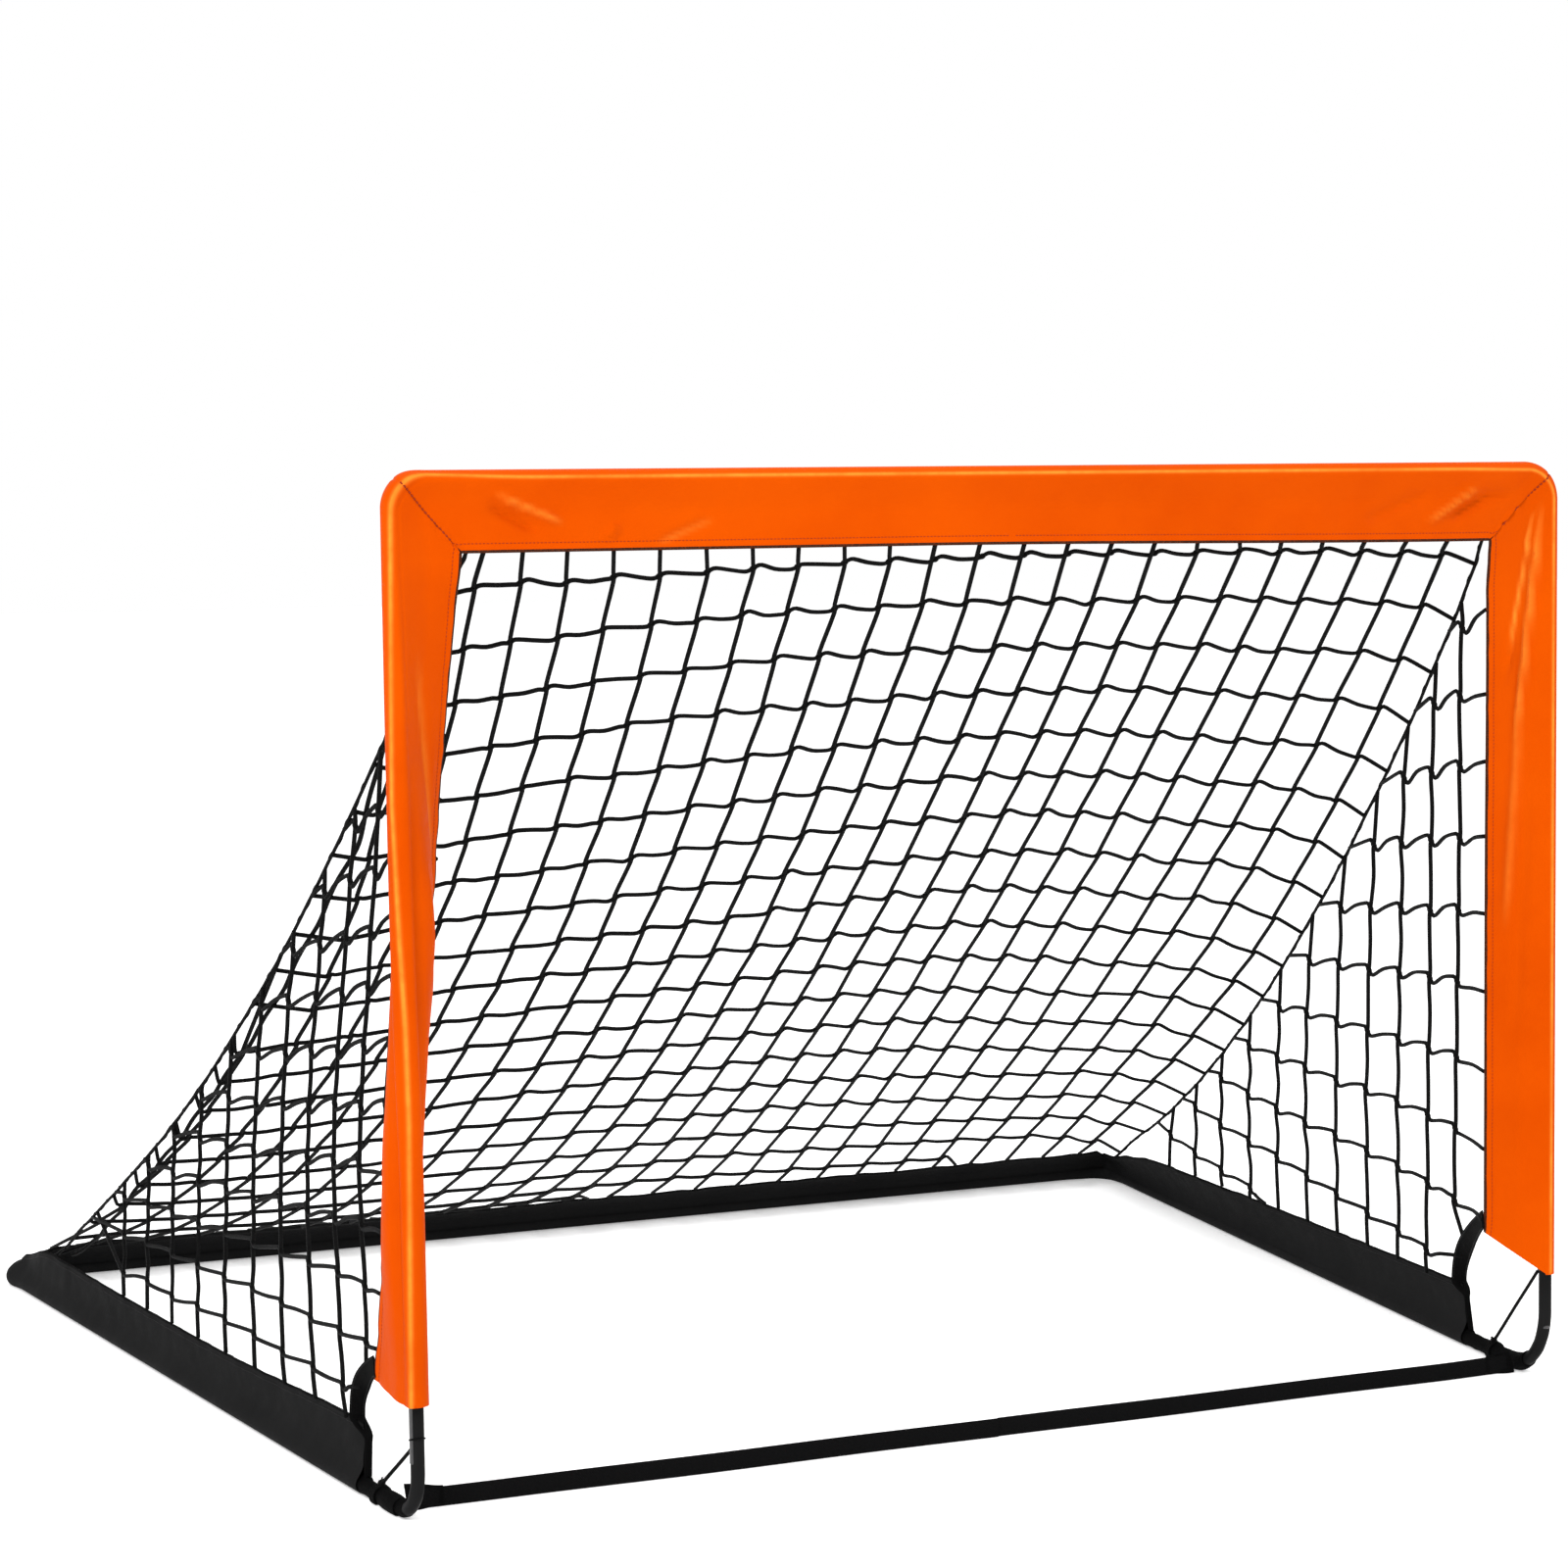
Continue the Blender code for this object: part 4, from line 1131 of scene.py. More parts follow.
# The rows climb and fall across the net and its strands drift sideways: both are smooth
# functions of the strand's number and the row's number, read off as a whole.
ROWS = 19
ROW_FIT = [0.023, -0.050, 0.045,
           0.796, -1.718, 0.678, 9.763, -13.633, 4.949,
           -0.325, 4.370, 13.452, -82.615, 111.463, -45.897,
           0.319, -5.704, -32.970, 175.956, -235.842, 97.444,
           0.028, 2.834, 19.797, -101.194, 132.099, -52.985]
ROW_POWERS = [(m, n) for m in range(5) for n in range(6) if m > 0 or n < 3]
DRIFT_FIT = [0.264, -1.849, 4.111, -3.519, 1.047, 1.839, -6.136, 4.123, 1.415, 0.056, -2.500, 3.478, 2.416,
             -2.275, -2.245, -1.414, 2.694, -1.162, -3.158, 0.472, 0.821, 1.602, -2.686, -2.052, 4.239]


def row_t(j, k):
    """Where row j crosses position k, as a share of the slope."""
    q, r = min(max(k, -3.5), 23.1) / 23.0, j / 18.0
    if j > 18:
        # short rows that run out into the rear rail's edge
        return row_t(18, k) + 0.072 * (j - 18)
    return sum(c * r ** m * q ** n for (m, n), c in zip(ROW_POWERS, ROW_FIT))


def strand_at(k, j):
    """Position of strand k at row j (-0.5 is the crossbar)."""
    q, r = max(k, 0) / 23.0, (j + 0.5) / 18.0
    return k + sum(DRIFT_FIT[5 * m + n] * r ** m * q ** n for m in range(5) for n in range(5))


def k_seam(side, t):
    y = Y_NET0 + (Y_NET1 - Y_NET0) * t
    x = seam_x(side, y)
    return (x + 0.0463 * 11.6 * (1 - t) + 0.0552 * 9.55 * t) / (0.0463 * (1 - t) + 0.0552 * t)


def surface_frame(k, t):
    a, b = back_point(k, max(t - 0.01, 0)), back_point(k, min(t + 0.01, 1))
    down = unit(b - a)
    across = back_point(k + 0.2, t) - back_point(k - 0.2, t)
    across = unit(across) if across @ across > 1e-12 else np.array([1.0, 0, 0])
    nor = unit(np.cross(across, down))
    if nor[2] < 0:
        nor = -nor
    return down, across, nor


def knot_at(k, j):
    kk = strand_at(k, min(j, 18))
    if j > 18:
        kk += (strand_at(k, 18) - strand_at(k, 17)) * (j - 18)
    t = row_t(j, kk)
    p = back_point(kk, min(t, 1.0))
    down, across, nor = surface_frame(kk, min(t, 0.99))
    p = p + down * 0.0020 * jit(k, j, 1) + across * 0.0014 * jit(k, j, 2)
    return p, down, across, nor, kk, t


def catmull(pts, per=4):
    """A smooth curve through points."""
    p = np.asarray(pts, float)
    if len(p) < 3:
        return p
    ext = np.vstack([2 * p[0] - p[1], p, 2 * p[-1] - p[-2]])
    out = []
    for i in range(1, len(ext) - 2):
        a, b, c, d = ext[i - 1], ext[i], ext[i + 1], ext[i + 2]
        for u in np.arange(per) / per:
            out.append(0.5 * ((2 * b) + (c - a) * u + (2 * a - 5 * b + 4 * c - d) * u ** 2 + (3 * b - a - 3 * c + d) * u ** 3))
    out.append(ext[-2])
    return np.array(out)


STEP = 0.0026


def build_back_net(side):
    """One half of the back netting, up to the centre plane."""
    sp = Soup()
    ks = range(-4, 24)
    knots = {}
    for k in ks:
        for j in range(ROWS + 2):
            kn = knot_at(k, j)
            kk, t = kn[4], kn[5]
            if t < 0.975 and k < 23 and k_seam(-1, t) + 0.16 < kk < k_seam(1, t) - 0.16:
                knots[k, j] = kn
    # strands from the crossbar (or the seam) to the rear rail
    for k in range(-3, 23):
        if k < 0:
            # starts on the left seam
            js = np.linspace(0, 18, 361)
            out = [j for j in js if strand_at(k, j) < k_seam(-1, row_t(j, strand_at(k, j)))]
            t0 = row_t(max(out), strand_at(k, max(out))) if out else 0.0
            start = seam(-1, Y_NET0 + (Y_NET1 - Y_NET0) * t0)
        else:
            t0 = 0.0
            x = strand_x(strand_at(k, -0.5) - 0.11 * smooth((22.5 - k) / 4) + 0.165 * np.exp(-(k / 0.8) ** 2), 0.0)
            start = np.array([x, 0.0012, bar_edge(x) + 0.0006])
        pts = [start]
        last = None
        for j in range(ROWS + 2):
            if (k, j) in knots and knots[k, j][5] > t0 + 0.010:
                p, down, across, nor, kk, t = knots[k, j]
                pts.append(p - down * 0.0050 - across * 0.0010)
                pts.append(p + down * 0.0050 + across * 0.0010)
                last = (kk, t, j)
        if last is None:
            continue
        kk = last[0] + (strand_at(k, 18) - strand_at(k, 17)) * min((1 - last[1]) / 0.055, 2.0)
        xb = strand_x(kk, 1.0)
        xb = min(max(xb, -(HALF_REAR - 0.040)), HALF_REAR - 0.040)
        end = np.array([xb, REAR_TIP[1] + 0.001, REAR_TIP[2] + 0.0005])
        if abs(xb) > 0.66:
            end = np.array([xb, REAR_TIP[1] - 0.001, REAR_TIP[2] + 0.001])
        if np.linalg.norm(end - pts[-1]) > 0.006:
            pts.append(end)
        path = catmull(pts, 4)
        half_piece(sp, path, side, TWINE_R)
    # rows
    for j in range(ROWS + 2):
        inside = [k for k in ks if (k, j) in knots]
        if len(inside) < 2:
            continue
        t = row_t(j, k_seam(-1, min(row_t(j, -1.0), 1.0)))
        pts = []
        if t < 0.985:
            pts.append(seam(-1, Y_NET0 + (Y_NET1 - Y_NET0) * t))
        else:
            q = knots[inside[0], j][0]
            pts.append(np.array([max(q[0] - 0.030, -(HALF_REAR - 0.045)), REAR_TIP[1] + 0.001, REAR_TIP[2] + 0.0005]))
        for k in inside:
            p, down, across, nor = knots[k, j][:4]
            # arrives low on the left, leaves higher on the right
            pts.append(p - across * 0.0080 + down * (0.0030 + 0.0010 * jit(k, j, 3)))
            pts.append(p - across * 0.0022 + down * 0.0018)
            pts.append(p + across * 0.0022 - down * 0.0018)
            pts.append(p + across * 0.0080 - down * (0.0032 + 0.0010 * jit(k, j, 4)))
            if k + 1 in inside:
                q = knots[k + 1, j][0]
                pts.append((p + q) / 2 + down * (0.0002 + 0.0016 * jit(k, j, 5)) + np.array([0, 0, -0.0004]))
        if j <= 18:
            t = row_t(j, k_seam(1, min(row_t(j, 22.5), 1.0)))
        else:
            t = 2.0
        if j < 3:
            t_k = knots[inside[-1], j][5]
            t = t_k + (t - t_k) * (0.35 + 0.22 * j)
        if t < 0.985 and inside[-1] >= 20:
            pts.append(seam(1, Y_NET0 + (Y_NET1 - Y_NET0) * t))
        else:
            # runs out into the rear rail's edge
            q = pts[-1]
            x = min(q[0] + 0.030, HALF_REAR - 0.040)
            pts.append(np.array([x, REAR_TIP[1] + 0.001, REAR_TIP[2] + 0.0005]))
        path = catmull(pts, 3)
        half_piece(sp, path, side, TWINE_R * 0.98)
    for (k, j), (p, down, across, nor, kk, t) in knots.items():
        if (p[0] < 0) != (side < 0):
            continue
        tilt = unit(across + down * -0.55)
        other = unit(np.cross(nor, tilt))
        sp.blob(p, (tilt * 0.0042, other * 0.0029, nor * 0.0029), 0, nu=8, nv=4)
    return sp.build("back_netting_" + TAG[side], [TWINE])


def half_piece(sp, path, side, r):
    """Adds the stretches of a path that lie on this side of the centre plane, ending on it."""
    path = np.asarray(path, float)
    keep = (path[:, 0] * side) >= 0
    run = []
    runs = []
    for i in range(len(path)):
        if keep[i]:
            if not run and i > 0 and not keep[i - 1]:
                a, b = path[i - 1], path[i]
                f = a[0] / (a[0] - b[0])
                run.append(a + (b - a) * f)
            run.append(path[i])
        elif run:
            a, b = path[i - 1], path[i]
            f = a[0] / (a[0] - b[0])
            run.append(a + (b - a) * f)
            runs.append(run)
            run = []
    if run:
        runs.append(run)
    for run in runs:
        if len(run) > 1:
            sp.tube(np.array(run), r, n=6, caps=True)


for side in (-1, 1):
    made["back", side] = build_back_net(side)


# ---- side netting
def side_surface(side, y, z):
    """Point of the side netting at this depth and height."""
    s = y / cos(FLARE)
    b = side_tip(side, s)
    xs = seam_x(side, y)
    zs = seam(side, y)[2]
    tau = np.clip((z - b[2]) / max(zs - b[2], 0.02), -0.2, 1.1)
    x0 = b[0] + (xs - b[0]) * tau
    tip = post_tip(side, z)
    tau_f = np.clip((z - side_tip(side, tip[1])[2]) / max(seam(side, tip[1])[2] - side_tip(side, tip[1])[2], 0.02), -0.2, 1.1)
    bf = side_tip(side, tip[1] / cos(FLARE))
    x0f = bf[0] + (seam_x(side, tip[1]) - bf[0]) * tau_f
    dx = tip[0] - x0f
    x = x0 + dx * np.exp(-max(y - tip[1], 0) / 0.13)
    return np.array([x, y, z])


# Depth and height of the knots of the side netting, as functions of the strand (0 is nearest the
# post) and of the row counted downwards.
SIDE_FIT = {
    1: ([0.05481, 0.004726, 0.0004434, 0.05235, 0.006182, -0.0004004, -0.0001286, 3.645e-05, 1.745e-06],
        [0.8384, -0.0706, -0.0005373, -0.01257, -0.0001262, 0.0002079, -0.0001251, 0.0001663, -1.529e-05]),
    -1: ([0.1578, 0.0097, -0.001444, 0.04873, 0.001569, 0.0001352, 0.004782, -0.0005059, 4.56e-06],
         [0.7284, -0.05587, 0.0002079, -0.01551, 0.0002468, 7.869e-05, -0.0005797, 0.0001869, -1.167e-05])}
SIDE_STRANDS = {-1: range(-1, 10), 1: range(0, 11)}
SIDE_ROWS = {-1: range(-1, 14), 1: range(1, 13)}
# Heights where the right net's rows start on the post's free edge
FRONT_Z = [0.785, 0.700, 0.632, 0.556, 0.477, 0.397, 0.315, 0.235, 0.156]


def side_yz(side, i, j):
    cy, cz = SIDE_FIT[side]
    powers = [(m, n) for m in range(3) for n in range(3)]
    return (sum(c * i ** m * j ** n for (m, n), c in zip(powers, cy)),
            sum(c * i ** m * j ** n for (m, n), c in zip(powers, cz)))


def seam_y_at(side, z):
    lo, hi = 0.0, 1.12
    for _ in range(40):
        m = (lo + hi) / 2
        if seam(side, m)[2] > z:
            lo = m
        else:
            hi = m
    return (lo + hi) / 2


def bottom_z(side, y):
    """Height where the side netting stops: the side sleeve's free edge, or the webbing band."""
    s = y / cos(FLARE)
    if s >= SLEEVE_FRONT[side] - 0.010:
        return side_tip(side, s)[2]
    best, zb = 1e9, 0.0
    for f in np.linspace(0, 1, 41):
        p = band_point(side, f)
        if abs(p[1] - y) < best:
            best, zb = abs(p[1] - y), p[2]
    return zb + 0.004


def build_side_net(side):
    sp = Soup()
    knots, ends = {}, {}
    for i in SIDE_STRANDS[side]:
        js = np.arange(-4, 15, 0.02)
        yz = np.array([side_yz(side, i, j) for j in js])
        y_min = 0.030 if i > 0 else 0.012
        edge = [post_tip(side, z)[1] + (0.016 if side < 0 else 0.003) if z > BAND_TOP[side] else y_min for y, z in yz]
        ok = np.array([y > max(y_min, e) and bottom_z(side, y) < z < seam(side, y)[2] for (y, z), e in zip(yz, edge)])
        if not ok.any():
            continue
        # a strand that runs in behind the post's edge ends there
        first = np.where(ok)[0][0]
        gap = np.where(~ok[first:])[0]
        last = first + gap[0] - 1 if len(gap) else len(ok) - 1
        ends[i] = (js[first], js[last], yz[first], yz[last])
        for j in SIDE_ROWS[side]:
            if js[first] + 0.16 < j < js[last] - 0.12:
                y, z = side_yz(side, i, j)
                knots[i, j] = side_surface(side, y + 0.0020 * jit(i, j, 21 + side), z + 0.0020 * jit(i, j, 22 + side))
    for i, (j0, j1, top, foot) in ends.items():
        pts = [seam(side, top[0])]
        for j in SIDE_ROWS[side]:
            if (i, j) in knots:
                p = knots[i, j]
                if (i, j - 1) in knots:
                    # slack cells bow a little towards the post
                    mid = (p + knots[i, j - 1]) / 2
                    pts.append(mid + np.array([0, -0.0016 * max(i, 0) / 3 + 0.0016 * jit(i, j, 24), 0.0]))
                pts.append(p + np.array([0, -0.0012, 0.0052]))
                pts.append(p + np.array([0, 0.0012, -0.0052]))
        if foot[1] > BAND_TOP[side] + 0.010 and foot[0] < post_tip(side, foot[1])[1] + (0.026 if side < 0 else 0.012):
            pts.append(post_tip(side, foot[1] - 0.004))
        elif foot[0] < (SLEEVE_FRONT[side] - 0.010) * cos(FLARE):
            q = pts[-1]
            pts.append(min((band_point(side, f) for f in np.linspace(0, 1, 80)), key=lambda p: np.hypot(*(p - q)[:2])))
        else:
            pts.append(side_surface(side, foot[0], bottom_z(side, foot[0])))
        sp.tube(catmull(pts, 4) if len(pts) > 2 else np.array(pts), TWINE_R, n=6)
    up, back = np.array([0, 0, 1.0]), np.array([0, 1.0, 0])
    for j in SIDE_ROWS[side]:
        inside = [i for i in SIDE_STRANDS[side] if (i, j) in knots]
        if not inside:
            continue
        pts = []
        # front end: on the post's flap, or on the webbing band
        i0 = inside[0]
        near = knots[i0, j]
        step = side_yz(side, i0, j)[1] - side_yz(side, i0 + 1, j)[1]
        z_f = near[2] + 0.5 * step
        if side > 0 and 1 <= j <= len(FRONT_Z):
            z_f = FRONT_Z[j - 1]
        tip = post_tip(side, z_f)
        psi = post_psi(side, z_f)
        if i0 <= 0 and z_f > POST_END + SLANT[side] + 0.018:
            pts.append(tip + np.array([-side * cos(psi), sin(psi), 0]) * 0.0005)
        elif near[1] < 0.26:
            f = min(np.linspace(0, 1, 60), key=lambda q: abs(band_point(side, q)[2] - (near[2] + 0.006)))
            pts.append(band_point(side, f))
        else:
            # comes up out of the ground sleeve's edge
            y = near[1] - 0.040
            pts.append(side_surface(side, y, bottom_z(side, y)))
        for i in inside:
            p = knots[i, j]
            prev = pts[-1]
            mid = prev * 0.55 + p * 0.45
            pts.append(side_surface(side, mid[1], mid[2]) + up * (0.0012 * jit(i, j, 31) - 0.0010))
            # low on the side towards the post, high on the side towards the back
            st = 1.0 if side > 0 else 0.90 - 0.55 * float(smooth((j - 8) / 3))
            pts.append(p - back * 0.0100 - up * 0.0046 * st)
            pts.append(p - back * 0.0040 - up * 0.0038 * st)
            pts.append(p + back * 0.0040 + up * 0.0038 * st)
            pts.append(p + back * 0.0100 + up * 0.0046 * st)
        # back end on the seam
        y1, z1 = side_yz(side, inside[-1], j)
        for q in np.arange(inside[-1], inside[-1] + 1.6, 0.02):
            y1, z1 = side_yz(side, q, j)
            if y1 > 1.10 or z1 > seam(side, y1)[2]:
                break
        pts.append(seam(side, min(y1, 1.10)))
        sp.tube(catmull(pts, 3), TWINE_R * 0.98, n=6)
    for p in knots.values():
        sp.blob(p, (np.array([0, 0.0046, 0.0030]), np.array([0, -0.0018, 0.0028]), np.array([0.0028, 0, 0])), 0, nu=8, nv=4)
    if side < 0:
        # selvage: a thin cord that winds a little, just inside the seam
        ys = np.linspace(0.150, 1.085, 260)
        off = 0.0180 + 0.0040 * value_noise(ys / 0.16, ys * 0, 91)
        off = off * smooth((ys - 0.150) / 0.12) * (1 - 0.35 * smooth((ys - 1.02) / 0.06))
        base = np.array([seam(side, y) for y in ys]) + np.array([1.0, 0, -0.35]) * off[:, None]
        turn = ys * 2 * pi / 0.090
        for ph in (0.0,):
            wob = np.stack([0.0014 * np.cos(turn + ph), np.zeros_like(ys), 0.0014 * np.sin(turn + ph)], 1)
            sp.tube(base + wob, TWINE_R * 1.05, n=6)
    return sp.build("side_netting_" + TAG[side], [TWINE])


def build_seam(side):
    """Rope along the seam, with the thinner joining cord wound close round it."""
    sp = Soup()
    ys = np.linspace(0.024, 1.115 if side < 0 else 1.145, 330)
    core = np.array([seam(side, y) for y in ys])
    head = [(-0.5372, 0.0015, 0.8610), (-0.5402, 0.0110, 0.8480)] if side < 0 else [(0.5250, 0.0015, 0.8560), (0.5262, 0.0105, 0.8435)]
    top = catmull(head + [core[0], core[6]], 6)[:13]
    core = np.vstack([top[:-1], core])
    ys = np.concatenate([np.linspace(0.0, ys[0], 13)[:-1], ys])
    wob = np.array([[0.0006 * jit(i // 6, 40 + side), 0, 0.0006 * jit(i // 6, 41 + side)] for i in range(len(ys))])
    k = np.ones(9) / 9
    for a in range(3):
        wob[:, a] = np.convolve(wob[:, a], k, mode="same")
    sp.tube(core + wob, ROPE_R, n=8, mat=0)
    t = units(np.gradient(core, axis=0))
    up = units(np.cross(t, np.array([side * 1.0, 0, 0.0])))
    lat = np.cross(t, up)
    ang = np.linspace(0, 2 * pi * 30, len(ys))
    lace = core + wob + up * (0.0017 * np.cos(ang))[:, None] + lat * (0.0017 * np.sin(ang))[:, None]
    sp.tube(lace, 0.0008, n=5, mat=1)
    return sp.build("seam_rope_braid_" + TAG[side], [ROPE, TWINE])


for side in (-1, 1):
    made["sidenet", side] = build_side_net(side)
    made["rope", side] = build_seam(side)


# ------------------------------------------------------------------ rubber elbows
def arc(centre, a, b, r, t0, t1, steps):
    c, a, b = (np.asarray(v, float) for v in (centre, a, b))
    return [c + r * (cos(t) * a + sin(t) * b) for t in np.linspace(t0, t1, steps)]


def open_tube(sp, path, ro, ri, n, mat):
    """A tube whose ends show their wall and a little of the bore."""
    path = np.asarray(path, float)
    p = sp.tube(path, ro, n=n, mat=mat, caps=False)
    for e, flip in ((0, False), (-1, True)):
        d = unit(path[1] - path[0]) if e == 0 else unit(path[-2] - path[-1])
        share = ri / float(np.linalg.norm(p[e][0] - path[e]))
        inner = path[e] + (p[e] - path[e]) * share
        sp.grid(np.array([p[e], inner, inner + d * 0.004]), mat, close_v=True, flip=(e == 0))


BEND_SEEN = {-1: 0.030, 1: 0.066}
COVER_FROM = {-1: 0.74, 1: 0.98}
LEAN = {-1: 0.0022, 1: 0.0}


def build_elbow(side):
    d = rail_dir(side)
    sp = Soup()
    r_b = BEND_SEEN[side]
    c = rail_point(side, r_b, r_b)
    path = [np.array([side * HALF_W, 0, z]) for z in np.linspace(0.132, r_b, 14)[:-1]]
    path += arc(c, -d, (0, 0, -1), r_b, 0, pi / 2, 40)
    path += [rail_point(side, s) for s in np.linspace(r_b, 0.086, 8)[1:]]
    path = np.array(path)
    path[:, 0] -= side * LEAN[side] * smooth(path[:, 2] / 0.04)
    s = arc_len(path)
    # faint compression ripples on the bend
    r = R_TUBE + 0.00010 * np.sin(s / 0.0034) * bump(s - s[33], 0.03)
    open_tube(sp, path, r, R_BORE, 28, 0)
    return sp.build("front_elbow_tube_" + TAG[side], [RUBBER], sharp=50)


def hidden_elbow(name, path, side):
    """The unseen rubber elbows: straight runs in short steps."""
    sp = Soup()
    fine = [path[0]]
    for a, b in zip(path[:-1], path[1:]):
        n = max(1, int(np.linalg.norm(b - a) / 0.004))
        fine += [a + (b - a) * k / n for k in range(1, n + 1)]
    open_tube(sp, np.array(fine), R_TUBE, R_BORE, 24, 0)
    return sp.build(name + TAG[side], [RUBBER], sharp=50)


ROD_TOP = 0.0934
TUBE_LAP = 0.030


def build_rear_elbow(side):
    d, inn = rail_dir(side), rail_in(side)
    s_end = RAIL_LEN - T_REAR
    path = [rail_point(side, s_end - TUBE_LAP)]
    path += arc(rail_point(side, s_end) + inn * BEND, -inn, d, BEND, 0, TURN_REAR, 14)
    path += [np.array([side * (HALF_REAR - T_REAR - TUBE_LAP), DEPTH, 0])]
    return hidden_elbow("rear_elbow_tube_", path, side)


def build_top_elbow(side):
    c = np.array([side * (HALF_W - BEND), 0, H_BAR - BEND])
    path = [np.array([side * HALF_W, 0, H_BAR - ROD_TOP - TUBE_LAP])]
    path += arc(c, (side, 0, 0), (0, 0, 1), BEND, 0, pi / 2, 14)
    path += [np.array([side * (HALF_W - BEND - TUBE_LAP), 0, H_BAR])]
    return hidden_elbow("top_elbow_tube_", path, side)


for side in (-1, 1):
    made["elbow", side] = build_elbow(side)
    made["elbow_top", side] = build_top_elbow(side)
    made["elbow_rear", side] = build_rear_elbow(side)


# ------------------------------------------------------------------ webbing
def tape(sp, path, across, width, thick, mat=0, edge=0.0006, n_across=9, dome=0.0):
    """Flat tape with rounded edges: path points with a width direction each."""
    path, across = np.asarray(path, float), units(np.asarray(across, float))
    t = units(np.gradient(path, axis=0))
    nor = units(np.cross(t, across))
    width = np.full(len(path), width) if np.isscalar(width) else np.asarray(width, float)
    prof = []
    for w in np.linspace(-1, 1, n_across):
        prof.append((w, 1.0 * sqrt(max(0.0, 1 - abs(w) ** 14)) + 0.0))
    loop = [(w, h) for w, h in prof] + [(w, -h) for w, h in reversed(prof)][1:-1]
    p = np.array([[path[i] + across[i] * w * width[i] / 2 + nor[i] * h * thick / 2 for w, h in loop] for i in range(len(path))])
    wv = np.array([w for w, h in loop] + [loop[0][0]]) * float(width.mean()) / 2
    wv = np.concatenate([[0], np.cumsum(np.abs(np.diff(wv)) + 1e-4)])
    sp.grid(p, mat, close_v=True, uu=arc_len(path), vv=wv)
    sp.fan(p[0], mat)
    sp.fan(p[-1], mat, flip=True)
    return nor


def build_strap(side):
    sp = Soup()
    x_end = HALF_W - 0.0150
    xs = np.concatenate([np.arange(0, x_end - 0.001, 0.006), [x_end]])
    path, across = [], []
    for x in xs:
        w = smooth((x - 0.50) / 0.09)
        y = STRAP_Y + 0.0015 * w + 0.0010 * sin(x * 19 + side) * (1 - w)
        lean = 0.05 * sin(x * 9 + side) * smooth(x / 0.1) * (1 - w) + 0.02
        path.append([side * x, y, GROUND + 0.0004 + STRAP_H / 2])
        across.append([0, lean, 1.0])
    if side < 0:
        pass
    tape(sp, path, across, STRAP_H, 0.0015, 0)
    return sp.build("front_strap_webbing_" + TAG[side], [WEB], sharp=55)


